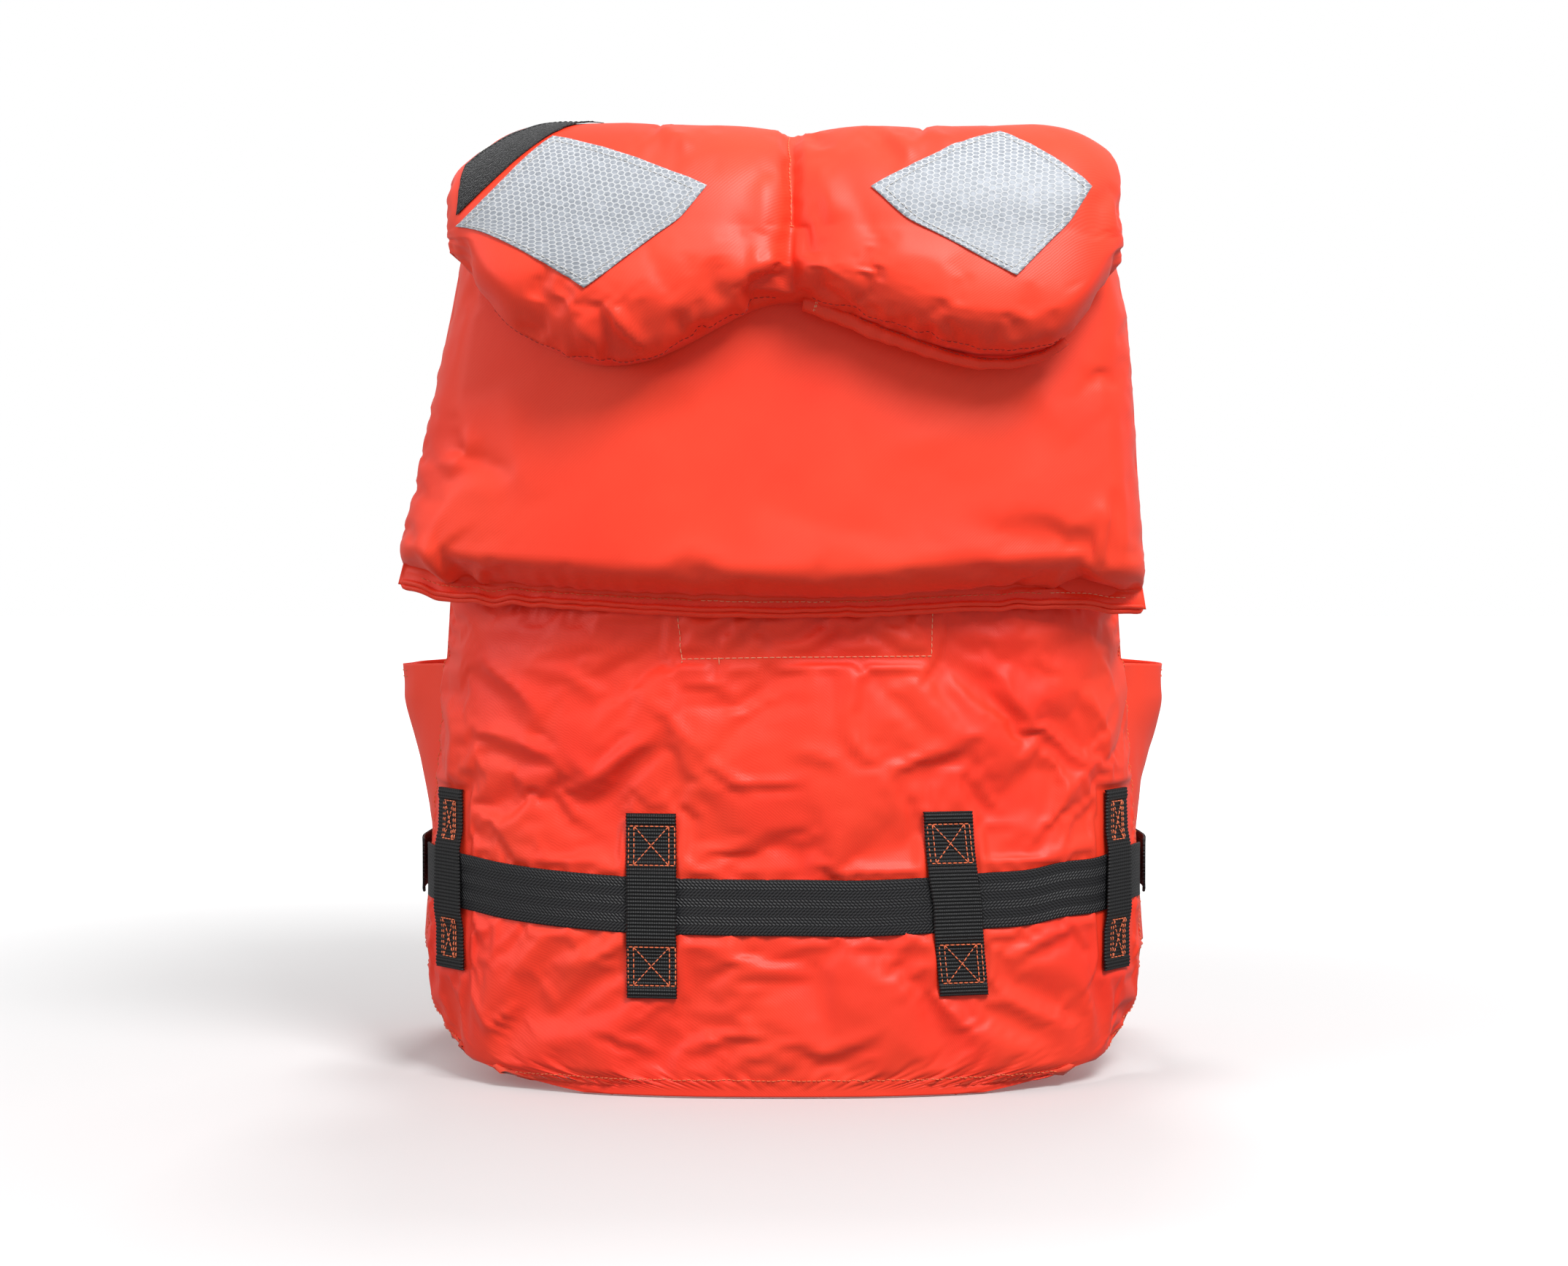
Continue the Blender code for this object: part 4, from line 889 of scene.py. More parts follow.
def pillow_place(x, z):
    """Column and row on the pillow's outer side for a width and a height."""
    column = (x / PILLOW_HALF + 1) / 2
    heights = on_cloth(pillow_cloth, np.full(400, column), np.linspace(0.04, 0.985, 400))[0][:, 2]
    top = int(heights.argmax())
    below = np.nonzero(heights[top:] <= z)[0]
    return column, np.linspace(0.04, 0.985, 400)[top + (below[0] if len(below) else 0)]


dart = [pillow_place(0.003, z) for z in (0.632, 0.625, 0.612, 0.595, 0.580)] + [pillow_place(0.0045, 0.5695)]
bar = [pillow_place(0.0022, 0.5698), pillow_place(0.0068, 0.5698)]
sewn("dart_stitches", [seam_on(pillow_cloth, dart, 0.0003), seam_on(pillow_cloth, bar, 0.0004)], 0.0036, orange_thread,
     "pillow", 0.00040)
edge_row = 0.968
left_seam = seam_on(pillow_cloth, [(share, edge_row + 0.012) for share in np.linspace(0.08, 0.49, 24)], 0.0)
right_seam = seam_on(pillow_cloth, [(share, edge_row) for share in np.linspace(0.54, 0.90, 20)], 0.0)
# Painted shade: these stitches are a darker red than the others, so that they look as if in shadow.
shadow_thread = spun_thread("painted_shade_red_thread", ("#C4301E", "#A82416"))
sewn("pillow_hem_stitches", [left_seam, right_seam], 0.0038, shadow_thread, "pillow")


# ---- Pillow casing ----
# A strip of nylon rolled into a tunnel under the right lobe's edge and sewn on with it. It is open at the middle of the
# pillow, where its mouth is turned in and held with a short bar of orange stitches.

x = np.linspace(0.012, 0.180, 90)
hem_z = PILLOW_START[1] - PILLOW_TURN + PILLOW_BEND - pillow_length(x)
path = np.stack([x, PILLOW_START[0] - PILLOW_FLAT - PILLOW_TURN + 0.25 * x ** 2 - 0.0105, hem_z - 0.0038], -1)
path[:, 2] += 0.0008 * ripple(x / 0.02, 0 * x, 21) + 0.004 * np.exp(-((x - 0.012) / 0.02) ** 2)
size = 0.0058 - 0.0024 * smooth_step(x, 0.03, 0.18)
outer_roll = cord("casing", path, size, nylon, "pillow", "pillow_casing", squeeze=0.9, wobble=0.16, capped=False)
solid = outer_roll.modifiers.new("wall", "SOLIDIFY")
solid.thickness = 0.0008
solid.offset = -1
bar_points = path[4] + np.stack([np.linspace(-0.001, 0.002, 12), -0.9 * size[4] * np.cos(np.linspace(-0.9, 0.9, 12)),
    size[4] * np.sin(np.linspace(-0.9, 0.9, 12))], -1)
bar_out = np.broadcast_to(np.array([0.0, -1.0, 0.0]), bar_points.shape)
sewn("casing_bartack", [(bar_points, bar_out), (bar_points + np.array([0.0009, 0, 0]), bar_out)], 0.0022, pale_thread,
     "pillow", 0.00035)
row = np.linspace(0.05, 0.97, 60)
ridge = read_along(row, np.linspace(0, 1, 90), path)
rise = np.interp(row, np.linspace(0, 1, 90), size)
ridge += np.stack([0 * row, -0.75 * rise, 0.62 * rise], -1)
sewn("casing_stitches", [(ridge, np.broadcast_to(np.array([0.0, -0.77, 0.64]), ridge.shape))], 0.0036, shadow_thread,
     "pillow")


# ---- Reflectors and light patch of the pillow ----
# Two 4 inch squares of silver film on cloth, backed by a honeycomb of white net, cut with a clean edge and sewn on
# 5 mm inside it. Beyond the left one lies a strip of black loop pile, to which a light is pressed.

def honeycomb_film(name):
    """Prismatic reflective film: grey silver cells about 4 mm wide in a raised white net 0.8 mm wide, with faint
    smudges where it has been handled, and small patches of painted shine that run from darker to lighter."""
    material, shader = start_material(name, {"Specular IOR Level": 0.35})
    cloth = add_node(material, "UVMap", {}, uv_map="cloth")
    cell = 0.0040
    step = (cell, cell * math.sqrt(3), 1.0)
    half = (step[0] / 2, step[1] / 2, 0.5)
    turned = add_node(material, "VectorRotate", {"Vector": cloth, "Angle": math.radians(45)}, rotation_type="Z_AXIS")
    centres = []
    for shift in ((10.0, 10.0, 0.0), (10.0 + half[0], 10.0 + half[1], 0.0)):
        moved = add_node(material, "VectorMath", {0: turned, 1: shift}, operation="ADD")
        wrapped = add_node(material, "VectorMath", {0: moved, 1: step}, operation="MODULO")
        centred = add_node(material, "VectorMath", {0: wrapped, 1: half}, operation="SUBTRACT")
        flat = add_node(material, "VectorMath", {0: centred, 1: (1.0, 1.0, 0.0)}, operation="MULTIPLY")
        length = add_node(material, "VectorMath", {0: flat}, operation="LENGTH")
        centres.append((flat, length))
    nearer = add_node(material, "Math", {0: centres[0][1], 1: centres[1][1]}, operation="GREATER_THAN")
    place = add_node(material, "Mix", {"Factor": nearer, "A": centres[0][0], "B": centres[1][0]}, data_type="VECTOR")
    size = add_node(material, "VectorMath", {0: place}, operation="ABSOLUTE")
    slanted = add_node(material, "VectorMath", {0: size, 1: (0.5, math.sqrt(3) / 2, 0.0)}, operation="DOT_PRODUCT")
    level = add_node(material, "SeparateXYZ", {"Vector": size})
    reach = add_node(material, "Math", {0: slanted, 1: level.outputs["X"]}, operation="MAXIMUM")
    net = add_node(material, "MapRange", {"Value": reach, "From Min": cell / 2 - 0.00050,
        "From Max": cell / 2 - 0.00028}, interpolation_type="SMOOTHSTEP")
    smudge = add_node(material, "TexNoise", {"Vector": cloth, "Scale": 45.0, "Detail": 5.0, "Roughness": 0.65,
        "Distortion": 1.2})
    dirt = add_node(material, "MapRange", {"Value": smudge, "From Min": 0.60, "From Max": 0.78, "To Max": 0.45})
    prisms = add_node(material, "TexVoronoi", {"Vector": cloth, "Scale": 330.0})
    # Painted shine: the film's colour runs from darker to lighter in small scattered patches.
    painted_shine = add_node(material, "MapRange", {"Value": prisms, "From Max": 0.9})
    film = add_node(material, "Mix", {"Factor": painted_shine, "A": "#80858C", "B": "#A0A5AD"}, data_type="RGBA")
    worn = add_node(material, "Mix", {"Factor": dirt, "A": film, "B": "#77797C"}, data_type="RGBA")
    tone = add_node(material, "Mix", {"Factor": net, "A": worn, "B": "#C2C4C7"}, data_type="RGBA")
    dull = add_node(material, "MapRange", {"Value": net, "To Min": 0.52, "To Max": 0.7})
    silver = add_node(material, "MapRange", {"Value": net, "To Min": 0.10, "To Max": 0.0})
    grain = add_node(material, "Bump", {"Strength": 0.15, "Distance": 0.0004, "Height": prisms})
    bump = add_node(material, "Bump", {"Strength": 0.6, "Distance": 0.0003, "Height": net, "Normal": grain})
    set_inputs(shader, {"Base Color": tone, "Roughness": dull, "Metallic": silver, "Normal": bump})
    return material


def loop_pile(name):
    """Black nylon loop pile: a dense mat of small loops that takes almost all light, with a painted highlight on their
    tops.
    """
    material, shader = start_material(name, {"Roughness": 0.92, "Sheen Weight": 0.20, "Sheen Roughness": 0.6,
        "Specular IOR Level": 0.2})
    cloth = add_node(material, "UVMap", {}, uv_map="cloth")
    # The loops are 1.2 mm apart.
    loops = add_node(material, "TexVoronoi", {"Vector": cloth, "Scale": 820.0})
    # Painted highlight and shade: each loop is lighter grey at its top and near black between the loops.
    tone = add_node(material, "Mix", {"Factor": loops, "A": "#1C1D20", "B": "#07070A"}, data_type="RGBA")
    bump = add_node(material, "Bump", {"Strength": 1.0, "Distance": 0.0012, "Height": loops}, invert=True)
    set_inputs(shader, {"Base Color": tone, "Normal": bump})
    return material


film = honeycomb_film("honeycomb_reflective_film")
pile = loop_pile("black_loop_pile")


def sew_patch(name, cloth, corners, toward, material, body, node, thick, thread):
    """A flat patch laid on a cloth between four corners, given as column and row, and its line of stitches."""
    s, t = np.meshgrid(np.linspace(0, 1, 61), np.linspace(0, 1, 61))
    a, b, c, d = (np.array(corner) for corner in corners)
    low = a + (d - a) * t[..., None]
    high = b + (c - b) * t[..., None]
    place = low + (high - low) * s[..., None]
    rim = np.minimum(np.minimum(s, 1 - s), np.minimum(t, 1 - t))
    lift = 0.0007 + thick + 0.0004 * np.exp(-(rim / 0.02) ** 2) * (0.5 + ripple(s * 9, t * 9, 30))
    points, outward = on_cloth(cloth, place[..., 0], place[..., 1], lift)
    piece = sew_closed(name, points, points - outward * thick, material, body)
    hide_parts(node)
    side = 0.05
    run = [(side, side), (1 - side, side), (1 - side, 1 - side), (side, 1 - side), (side, side)]
    lines = []
    for (s0, t0), (s1, t1) in zip(run, run[1:]):
        s, t = np.linspace(s0, s1, 60), np.linspace(t0, t1, 60)
        place = (a + (d - a) * t[:, None]) * (1 - s[:, None]) + (b + (c - b) * t[:, None]) * s[:, None]
        lines.append(on_cloth(cloth, place[:, 0], place[:, 1], 0.0008 + thick))
    sewn(name + "_stitches", lines, 0.0034, thread, body, 0.00028)


silver_thread = spun_thread("grey_polyester_thread", ("#D2D0CC", "#B4B2AE"))
squares = {"left": [(-0.202, 0.571), (-0.144, 0.628), (-0.048, 0.594), (-0.120, 0.529)],
    "right": [(0.054, 0.593), (0.1355, 0.632), (0.188, 0.595), (0.140, 0.537)]}
for side, corners in squares.items():
    sew_patch(f"pillow_reflector_{side}_film", pillow_cloth, [pillow_place(x, z) for x, z in corners], toward, film,
        "pillow", f"pillow_reflector_{side}", PATCH, silver_thread)
strip = [pillow_place(x, z) for x, z in ((-0.2015, 0.578), (-0.2000, 0.612), (-0.1160, 0.650), (-0.1480, 0.628))]
sew_patch("light_patch_pile", pillow_cloth, strip, toward, pile, "pillow", "light_patch", 0.0005,
    spun_thread("black_polyester_thread", ("#1A1A1C", "#0E0E10")))


# ---- Front panels ----
# One foam-filled nylon pad each side, from the hem over the chest to the shoulder, thinner towards the top. Each has a
# backing sewn in round its edge, and a square of reflective film on the chest.

FRONT_LENGTH = 0.579
FRONT_INNER = ([0.0, 0.38, 0.44, 0.50, 0.58], [0.006, 0.006, 0.022, 0.062, 0.088])
FRONT_OUTER = ([0.0, 0.02, 0.06, 0.24, 0.29, 0.33, 0.37, 0.46, 0.58], [0.226, 0.236, 0.240, 0.240, 0.228, 0.206,
    0.196, 0.192, 0.190])
FRONT_LEVEL = ([0.0, 0.35, 0.45, 0.60], [0.055, 0.055, 0.024, 0.024])
FRONT_WIDTH = 0.234
CHEST_Z = 0.42
CHEST_DEPTH = 0.130
CHEST_HALF = 0.262
CHEST_BEND = 3.5
SHOULDER_RADIUS = 0.15
PAD_SHARE = 0.965
LOOP_X = 0.118
BUCKLE_Z = 0.142
BELT_FRONT_Y = BODY_Y + 0.1895
SIDES = {"left": -1, "right": 1}


def chest(x):
    return BODY_Y + CHEST_DEPTH * (1 - (np.abs(x) / CHEST_HALF) ** CHEST_BEND) ** (1 / CHEST_BEND)


def front_base(sign, u, v):
    reach = v * FRONT_LENGTH
    low, high = np.interp(reach, *FRONT_INNER), np.interp(reach, *FRONT_OUTER)
    x = low + (high - low) * u
    turn = np.maximum(0, reach - CHEST_Z) / SHOULDER_RADIUS
    y = chest(x) - SHOULDER_RADIUS * (1 - np.cos(turn))
    return np.stack([sign * x, y, np.minimum(reach, CHEST_Z) + SHOULDER_RADIUS * np.sin(turn)], -1)


def front_rise(u, v):
    reach = v * FRONT_LENGTH
    wide = np.interp(reach, *FRONT_OUTER) - np.interp(reach, *FRONT_INNER)
    level = np.interp(reach, *FRONT_LEVEL)
    side = rounded(np.minimum(u, 1 - u) * wide, level * 0.64)
    return PAD_SHARE * level * side * rounded(reach, 0.035) * rounded(FRONT_LENGTH - reach, 0.015)


def front_place(x, reach):
    low, high = np.interp(reach, *FRONT_INNER), np.interp(reach, *FRONT_OUTER)
    return (x - low) / (high - low), reach / FRONT_LENGTH


steps = np.array([0, 0.0007, 0.002, 0.0045, 0.008, 0.0125, 0.018, 0.0245, 0.032, 0.040])
front_columns = spread(FRONT_WIDTH, steps, 0.0070) / FRONT_WIDTH
front_rows = np.concatenate([steps, np.arange(0.047, 0.556, 0.0075), [0.562, 0.568, 0.5725, 0.5755, 0.5775, 0.5785,
    FRONT_LENGTH]]) / FRONT_LENGTH
front_folds = {"left": [(.03, .40, .12, .36, 12, 1.8), (.05, .09, .16, .07, 10, 1.6), (.15, .30, .21, .24, 10, -1.6),
    (.03, .22, .09, .18, 12, 1.4), (.09, .46, .13, .40, 10, 1.6), (.16, .11, .20, .03, 9, 1.8),
    (.02, .05, .06, .10, 8, -1.6), (.08, .205, .19, .19, 10, 1.2), (.17, .37, .15, .43, 8, -1.4)],
    "right": [(.04, .38, .13, .40, 12, 1.6), (.07, .07, .14, .10, 10, 1.8), (.16, .27, .21, .31, 10, -1.4),
    (.04, .19, .11, .22, 12, 1.4), (.10, .43, .14, .48, 10, 1.4), (.17, .04, .20, .11, 9, 1.6),
    (.03, .10, .05, .05, 8, -1.6), (.10, .20, .20, .21, 10, 1.2), (.15, .39, .17, .45, 8, -1.4)]}
front_cloth = {}
for side, sign in SIDES.items():
    body = f"front_{side}"
    toward = (0, 1, 0.25)
    u, v = np.meshgrid(front_columns, front_rows)
    base = front_base(sign, u, v)
    outward = outward_of(base, toward)
    face = base + outward * (front_rise(u, v) + SKIN)[..., None]
    inside = smooth_step(np.minimum(u, 1 - u), 0.01, 0.10) * smooth_step(np.minimum(v, 1 - v), 0.005, 0.04)
    under_belt = np.exp(-((face[..., 2] - BUCKLE_Z) / 0.030) ** 6)
    swell = folded(np.abs(face[..., 0]), face[..., 2], front_folds[side]) * inside * (1 - under_belt)
    face = lifted(face, toward, swell)
    fixed = np.ones_like(u)
    fixed[2:-2, 2:-2] = 0
    fixed = np.maximum(fixed, under_belt)
    face = settle(face, base - outward * SKIN, fixed, 1.2, 0.020, 0.0035, steps=14)
    face, base, rows, columns = finer(face), finer(base), finer(front_rows), finer(front_columns)
    u, v = np.meshgrid(columns, rows)
    rim = np.minimum(np.minimum(u, 1 - u) * FRONT_WIDTH, np.minimum(v, 1 - v) * FRONT_LENGTH)
    gather = np.exp(-((rim - 0.008) / 0.010) ** 2) * ripple(face[..., 0] / 0.012, face[..., 2] / 0.012, 40 + sign)
    gather = 0.0011 * gather + 0.0004 * ripple(face[..., 0] / 0.04, face[..., 2] / 0.05, 42 + sign)
    face = lifted(face, toward, gather * smooth_step(rim, 0.0, 0.006))
    front_cloth[side] = pad_cover(f"front_cover_{side}", f"front_shell_{side}", face, base, rows, columns, toward,
        body)
    pad_backing(f"front_backing_{side}", f"front_lining_{side}", base, 0.0006, toward, body)
    corners = [front_place(x, reach) for x, reach in ((0.060, 0.232), (0.1616, 0.232), (0.1616, 0.3336),
        (0.060, 0.3336))]
    sew_patch(f"chest_reflector_{side}_film", front_cloth[side], corners, toward, film, body,
        f"front_reflector_{side}", PATCH, silver_thread)
    edge = [(0.955, row) for row in np.linspace(0.06, 0.60, 24)]
    sewn(f"front_seam_stitches_{side}", [seam_on(front_cloth[side], edge)], 0.0040, shadow_thread, body)


# ---- Side panels ----
# Slack nylon that joins the back's side seam to each front. It is doubled and stitched along the armhole, where it
# flares out, and its fold lies loose above the belt.

HINGE_FOOT = np.array([0.266, BODY_Y - 0.024, 0.0])
HINGE_HEAD = np.array([0.220, BODY_Y - 0.031, 0.578])
ARMHOLE_Z = 0.286
SLIT_Z = 0.088
SIDE_BULGE = ([0.088, 0.127, 0.165, 0.182, 0.22, 0.26, 0.286], [0.013, 0.0125, 0.0135, 0.021, 0.047, 0.073, 0.0813])


def side_curve(share, z):
    """Plan of the side panel at a height, from the side seam round to the front pad's edge."""
    seam = HINGE_FOOT + (HINGE_HEAD - HINGE_FOOT) * (z / HINGE_HEAD[2])[..., None]
    seam = seam + np.array([-0.0035, 0.0045, 0.0])
    x = np.interp(z, *FRONT_OUTER)
    edge = np.stack([x + 0.0004, chest(x) - 0.0022, z], -1)
    out = np.interp(z, SIDE_BULGE[0], SIDE_BULGE[1])
    bulge = np.stack([seam[..., 0] + out, 0 * z + BODY_Y + 0.035, z], -1)
    share = share[..., None]
    first = seam + (bulge - seam) * share
    return first + (bulge + (edge - bulge) * share - first) * share


for side, sign in SIDES.items():
    body = f"front_{side}"
    share, z = np.meshgrid(np.linspace(0, 1, 61), np.linspace(SLIT_Z, ARMHOLE_Z, 111))
    panel = side_curve(share, z)
    # Its two edges run on under the back's edge and under the pad's edge, where they are sewn in.
    edge_turn = np.interp(z, BACK_EDGE_Z, BACK_EDGE_TURN)
    tuck = around_back(edge_turn - 0.6, z, -0.0016)
    panel += (tuck - panel[:, :1]) * ((1 - share / 0.08).clip(0, 1) ** 1.5)[..., None]
    panel[..., 0] -= 0.0070 * smooth_step(share, 0.95, 1.0)
    panel[..., 1] -= 0.0012 * smooth_step(share, 0.95, 1.0)
    free = np.sin(np.clip(share, 0, 1) * math.pi) ** 0.6
    fold = 0.0022 * ripple(share / 0.16 + z * 9, z / 0.055, 50 + sign) * smooth_step(z, 0.165, 0.20)
    fold += 0.0010 * ripple(share / 0.09, z / 0.018, 52 + sign)
    dip = 0.004 * smooth_step(z, 0.262, ARMHOLE_Z) * np.sin(share * math.pi)
    panel[..., 2] -= dip * 0.6
    panel[..., 0] += free * fold - 0.0015 * smooth_step(z, 0.25, ARMHOLE_Z) * free
    panel[..., 0] *= sign
    piece = lay_cloth(f"side_cloth_{side}", panel, 0.0014, (sign, 0, 0), nylon, None, f"side_panel_{side}")
    start, end = (sign * 0.2555, BODY_Y - 0.021, 0.19), (sign * 0.2700, BODY_Y + 0.030, 0.19)
    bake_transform(piece)
    side_cloth = Cloth(panel, outward_of(panel, (sign, 0, 0)), np.linspace(0, 1, 111), np.linspace(0, 1, 61))
    hem_lines = [seam_on(side_cloth, [(s, row) for s in np.linspace(0.30, 0.98, 14)]) for row in (0.95, 0.975)]
    sewn(f"armhole_stitches_{side}", hem_lines, 0.0040, orange_thread, body)


# ---- Shoulder tabs and straps ----
# A hemmed nylon tab sewn inside the back's top edge and a strap from each front lie on each other over the shoulder.
# Both are two layers of the shell nylon, and the strap's end is sewn to the front pad.

LAP = 0.0022

def lap_height(x, y):
    """Height of the plane square to the front's hinge line, in which tab and strap meet."""
    axis = (HINGE_HEAD - HINGE_FOOT) / np.linalg.norm(HINGE_HEAD - HINGE_FOOT)
    return HINGE_HEAD[2] - (axis[0] * (x - HINGE_HEAD[0]) + axis[1] * (y - HINGE_HEAD[1])) / axis[2]


def smooth_path(points, count):
    """Points along a line through these points, its corners rounded off."""
    fine = np.array(points, float)
    for _ in range(3):
        first, last = fine[:1], fine[-1:]
        low, high = fine[:-1] * 0.75 + fine[1:] * 0.25, fine[:-1] * 0.25 + fine[1:] * 0.75
        fine = np.concatenate([first, np.stack([low, high], 1).reshape(-1, fine.shape[1])[1:-1], last])
    run = distance_along(fine)
    return read_along(np.linspace(0, run[-1], count), run, fine)


for side, sign in SIDES.items():
    across = np.linspace(0.100, 0.186, 25)
    lines = []
    for x in across:
        inner = around_back(turn_at(x, 0.55), 0.55, INSIDE_BACK)[1]
        path = [(inner, 0.530), (inner, 0.552), (inner + 0.014, 0.566)]
        path += [(y, lap_height(x, y) - 0.0004) for y in (inner + 0.036, BODY_Y - 0.040, BODY_Y - 0.020,
            BODY_Y + 0.010)]
        line = smooth_path(path, 60)
        lines.append(np.column_stack([0 * line[:, 0] + sign * x, line]))
    tab = np.stack(lines, 1)
    lay_cloth(f"shoulder_tab_{side}_cloth", tab, LAP, (0, -0.5, 1), nylon, "back", f"shoulder_tab_{side}")
    tab_cloth = Cloth(tab, outward_of(tab, (0, -0.5, 1)), np.linspace(0, 1, 60), np.linspace(0, 1, 25))
    hems = [seam_on(tab_cloth, [(s, row) for row in np.linspace(0.45, 0.78, 6)]) for s in (0.06, 0.94)]
    sewn(f"shoulder_tab_stitches_{side}", hems, 0.0036, shadow_thread, "back")
    lines = []
    for x in across:
        lap = [(y, lap_height(x, y) + 0.0026) for y in (BODY_Y - 0.050, BODY_Y - 0.020, BODY_Y + 0.012)]
        reach = np.array([0.5650, 0.5560, 0.5460])
        on_pad = on_cloth(front_cloth[side], *front_place(np.full(3, x), reach), 0.0026)[0]
        line = smooth_path(lap + [tuple(point) for point in on_pad[:, 1:]], 70)
        lines.append(np.column_stack([0 * line[:, 0] + sign * x, line]))
    strap = np.stack(lines, 1)
    body = f"front_{side}"
    lay_cloth(f"shoulder_strap_{side}_cloth", strap, LAP, (0, 0, 1), nylon, body, f"shoulder_strap_{side}")
    strap_cloth = Cloth(strap, outward_of(strap, (0, 0, 1)), np.linspace(0, 1, 70), np.linspace(0, 1, 25))
    box = [(0.08, 0.06), (0.92, 0.06), (0.92, 0.36), (0.08, 0.36), (0.08, 0.06), (0.92, 0.36)]
    cross = [(0.92, 0.06), (0.08, 0.36)]
    hems = [seam_on(strap_cloth, box), seam_on(strap_cloth, cross)]
    hems += [seam_on(strap_cloth, [(s, 0.36), (s, 0.96)]) for s in (0.06, 0.94)]
    sewn(f"shoulder_strap_stitches_{side}", hems, 0.0036, orange_thread, body, 0.00032)


# ---- Front belt and its loops ----
# The belt runs from the side panels over the fronts under a sewn loop each side. On the left it is folded round the
# socket's bar and sewn; on the right a loose end goes round the plug's bar, through the keeper and under the loop.

FOLD_STEP = 0.0088
BAR_X = 0.058


def belt_piece(name, plan, sign, body, node):
    """A length of belt standing on edge along a plan, given as x and y for the right side."""
    line = smooth_path(plan, 150)
    ahead = unit(np.gradient(line, axis=0))
    out = np.stack([sign * ahead[:, 1], -ahead[:, 0], 0 * ahead[:, 0]], -1)
    centre = np.stack([sign * line[:, 0], line[:, 1], 0 * line[:, 0] + BUCKLE_Z], -1)
    webbing(name, centre, UP, out, 2 * BELT_HALF, WEBBING, belt_webbing, body, node)


fold = [math.radians(angle) for angle in (-90, -125, -160, -200, -235, -270)]
middle_y = BELT_FRONT_Y + WEBBING / 2
round_bar = [(BAR_X + math.cos(turn) * FOLD_STEP / 2, middle_y + FOLD_STEP / 2 + math.sin(turn) * FOLD_STEP / 2)
    for turn in fold]
for side, sign in SIDES.items():
    body = f"front_{side}"
    level = BUCKLE_Z / FRONT_LENGTH
    shares = 1 - np.array([0.013, 0.021, 0.032, 0.05, 0.075, 0.10, 0.125]) / FRONT_WIDTH
    u, v = np.meshgrid(shares, [level - 0.005, level, level + 0.005])
    flat = front_base(sign, u, v)
    bulge = lifted(flat, (0, 1, 0), front_rise(u, v) / PAD_SHARE)[1]
    bulge[:, 0] *= sign
    panel = side_curve(np.array([0.0, 0.2, 0.4]), np.full(3, BUCKLE_Z))
    plan = np.concatenate([panel[:, :2], bulge[:, :2]])
    ahead = unit(np.gradient(plan, axis=0))
    plan = plan + np.stack([ahead[:, 1], -ahead[:, 0]], -1) * 0.0050
    end = [(0.100, BELT_FRONT_Y - 0.0032)]
    if side == "left":
        end = [(0.090, middle_y), (0.070, middle_y), *round_bar, (0.086, middle_y + FOLD_STEP)]
    belt_piece(f"belt_{side}", np.concatenate([plan, end]), sign, body, f"belt_front_{side}")
    top = BELT_FRONT_Y + WEBBING + 0.0008
    dz = np.concatenate([np.linspace(-0.0605, -0.0225, 30), np.linspace(-0.0205, 0.0205, 30),
        np.linspace(0.0225, 0.0605, 30)])
    cloth_u, cloth_v = front_place(np.full_like(dz, LOOP_X), BUCKLE_Z + dz)
    on_pad = on_cloth(front_cloth[side], cloth_u, cloth_v, 0.0012)[0][:, 1]
    slope = smooth_step(np.abs(dz), 0.0200, 0.0350)
    place_y = top + (on_pad - top) * slope
    strap = np.stack([np.full_like(dz, sign * LOOP_X), place_y + WEBBING / 2, BUCKLE_Z + dz], -1)
    ahead = np.gradient(strap, axis=0)
    out = unit(np.stack([0 * dz, ahead[:, 2], -ahead[:, 1]], -1))
    across = np.array([1.0, 0.0, 0.0])
    webbing(f"belt_loop_front_{side}", strap, across, out, 0.032, WEBBING, loop_webbing, body, f"loop_front_{side}",
            rib=RIB_HEIGHT)

    def loop_front(a, b):
        ways = read_along(b, dz, out)
        return read_along(b, dz, strap) + across * a[:, None] + ways * (WEBBING / 2 + 0.0004), ways

    lines = boxed_cross(loop_front, 0.032, 0.0275, 0.0550) + boxed_cross(loop_front, 0.032, -0.0550, -0.0275)
    sewn(f"belt_loop_front_{side}_stitches", lines, 0.0028, orange_thread, body, 0.00032)

slide = [(0.137, middle_y), (0.100, middle_y), (0.070, middle_y), *round_bar, (0.094, middle_y + FOLD_STEP)]
belt_piece("belt_end_slide", slide, 1, "plug", "belt_slide")


# ---- Side-release buckle and keeper ----
# Socket, plug, its two sprung arms and the belt keeper are moulded in black acetal. They are the CAD's own solids, with
# a small radius on every edge so that they catch the light as a moulding does.


def moulded_acetal(name):
    """Black moulded acetal: a slight satin shine, fine spark-eroded grain and faint scuffs."""
    material, shader = start_material(name, {"Roughness": 0.42, "Specular IOR Level": 0.5})
    place = add_node(material, "TexCoord", {}).outputs["Object"]
    grain = add_node(material, "TexNoise", {"Vector": place, "Scale": 1400.0, "Detail": 3.0})
    scuff = add_node(material, "TexNoise", {"Vector": place, "Scale": 90.0, "Detail": 4.0, "Distortion": 1.0})
    tone = add_node(material, "Mix", {"Factor": scuff, "A": "#151517", "B": "#222225"}, data_type="RGBA")
    dull = add_node(material, "MapRange", {"Value": scuff, "To Min": 0.34, "To Max": 0.55})
    round_edge = add_node(material, "Bevel", {"Radius": 0.0006}, samples=4)
    bump = add_node(material, "Bump", {"Strength": 0.25, "Distance": 0.0001, "Height": grain, "Normal": round_edge})
    set_inputs(shader, {"Base Color": tone, "Roughness": dull, "Normal": bump})
    return material


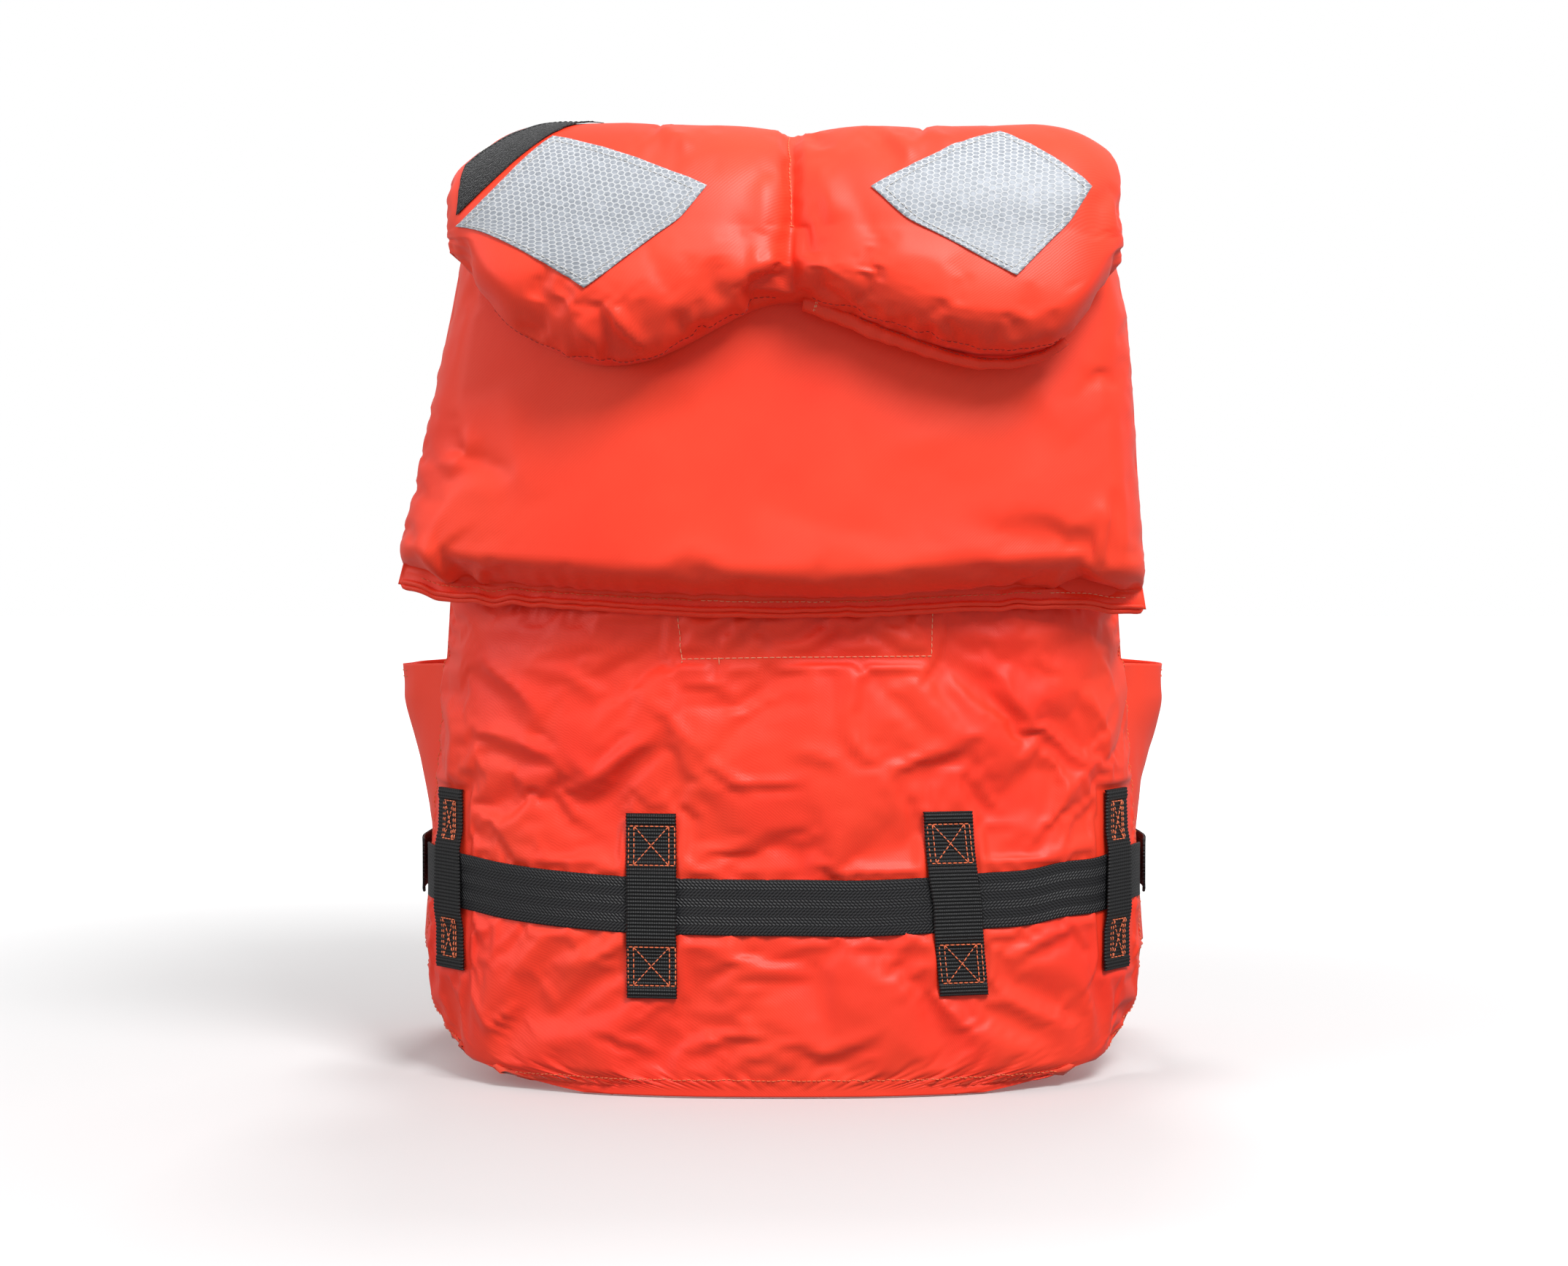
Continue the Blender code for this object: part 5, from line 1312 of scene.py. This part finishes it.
def white_foam(name):
    """White closed-cell foam: matt, with painted shade in its small pores."""
    material, shader = start_material(name, {"Roughness": 0.85})
    place = add_node(material, "TexCoord", {}).outputs["Object"]
    pores = add_node(material, "TexVoronoi", {"Vector": place, "Scale": 900.0})
    # Painted shade: each pore is darker at its middle.
    tone = add_node(material, "Mix", {"Factor": pores, "A": "#D6D4CC", "B": "#F2F1EC"}, data_type="RGBA")
    set_inputs(shader, {"Base Color": tone})
    return material


acetal = moulded_acetal("moulded_acetal")
foam = white_foam("closed_cell_foam")
for name, obj in nodes.items():
    if name.startswith("buckle_") or name == "belt_keeper":
        for slot in obj.material_slots:
            slot.material = acetal
        obj.data.shade_smooth()
        obj.data.set_sharp_from_angle(angle=math.radians(35))
    if "foam" in name:
        for slot in obj.material_slots:
            slot.material = foam


# ---- Floor, light and camera ----
# A pale floor in a white room, with one wide light high on the right and weaker ones on the left, in front of the
# chest and above the neck, which keep the far sides from going dark.

floor_material, floor_shader = start_material("matt_paper", {"Roughness": 0.9, "Specular IOR Level": 0.1,
    "Emission Color": (1, 1, 1, 1)})
speck = add_node(floor_material, "TexNoise", {"Scale": 3.0, "Detail": 2.0})
pale = add_node(floor_material, "Mix", {"Factor": speck, "A": "#D0D0D0", "B": "#CCCCCD"}, data_type="RGBA")
# A painted glow on the floor, faint near the jacket and brighter away from it, stands for the lit room into which a
# studio floor curves up.
place = add_node(floor_material, "TexCoord", {}).outputs["Object"]
away = add_node(floor_material, "VectorMath", {0: place}, operation="LENGTH")
# Painted light: the floor glows, and more so the further it is from the jacket.
painted_floor_glow = add_node(floor_material, "MapRange", {"Value": away, "From Min": 0.45, "From Max": 2.2, "To Min": 0.04,
    "To Max": 0.80}, interpolation_type="SMOOTHSTEP")
set_inputs(floor_shader, {"Base Color": pale, "Emission Strength": painted_floor_glow})
floor_mesh = bpy.data.meshes.new("floor")
floor_mesh.from_pydata([(-12, -12, 0), (12, -12, 0), (12, 12, 0), (-12, 12, 0)], [], [(0, 1, 2, 3)])
floor = bpy.data.objects.new("floor", floor_mesh)
floor.location = (0, 0, -0.0012)
floor_mesh.materials.append(floor_material)
scene.collection.objects.link(floor)
floor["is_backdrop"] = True
floor.visible_diffuse = False
floor.visible_glossy = False

scene.view_settings.view_transform = "Standard"
scene.world = bpy.data.worlds.new("white_room")
scene.world.use_nodes = True
# The room lights the jacket more from above than from below, and is plain white behind it.
way = add_node(scene.world, "TexCoord", {}).outputs["Generated"]
level = add_node(scene.world, "SeparateXYZ", {"Vector": way}).outputs["Z"]
room_light = add_node(scene.world, "MapRange", {"Value": level, "From Min": -0.4, "From Max": 0.6, "To Min": 0.34,
    "To Max": 0.66})
seen = add_node(scene.world, "LightPath", {}).outputs["Is Camera Ray"]
strength = add_node(scene.world, "Mix", {"Factor": seen, "A": room_light, "B": 1.0})
set_inputs(scene.world.node_tree.nodes["Background"], {"Color": (1, 1, 1, 1), "Strength": strength})


def add_light(name, place, aim, size, power, mirrored=True):
    light = bpy.data.lights.new(name, "AREA")
    light.shape = "RECTANGLE"
    light.size, light.size_y = size
    light.energy = power
    obj = bpy.data.objects.new(name, light)
    scene.collection.objects.link(obj)
    obj.visible_glossy = mirrored
    obj.location = place
    direction = np.array(aim) - np.array(place)
    obj.rotation_euler = mathutils.Vector(direction).to_track_quat("-Z", "Y").to_euler()


add_light("key", (0.75, -1.50, 1.9), (0, 0, 0.30), (0.8, 0.8), 50)
add_light("fill", (-1.9, -1.0, 1.0), (0, 0, 0.3), (1.2, 1.2), 11)
add_light("front_fill", (0.6, 2.2, 1.4), (0, 0, 0.3), (1.2, 1.2), 16, False)
add_light("overhead", (0.05, 0.62, 2.3), (0, 0, 0), (0.5, 0.5), 15, False)

camera = bpy.data.objects.new("camera", bpy.data.cameras.new("camera"))
camera.data.lens = 58.84
camera.data.sensor_width = 36
camera.data.clip_end = 60
camera.location = (0.0, BODY_Y - 1.84, 0.367)
camera.rotation_euler = (math.radians(90 - 1.88), 0, 0)
scene.collection.objects.link(camera)
scene.camera = camera

low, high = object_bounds()
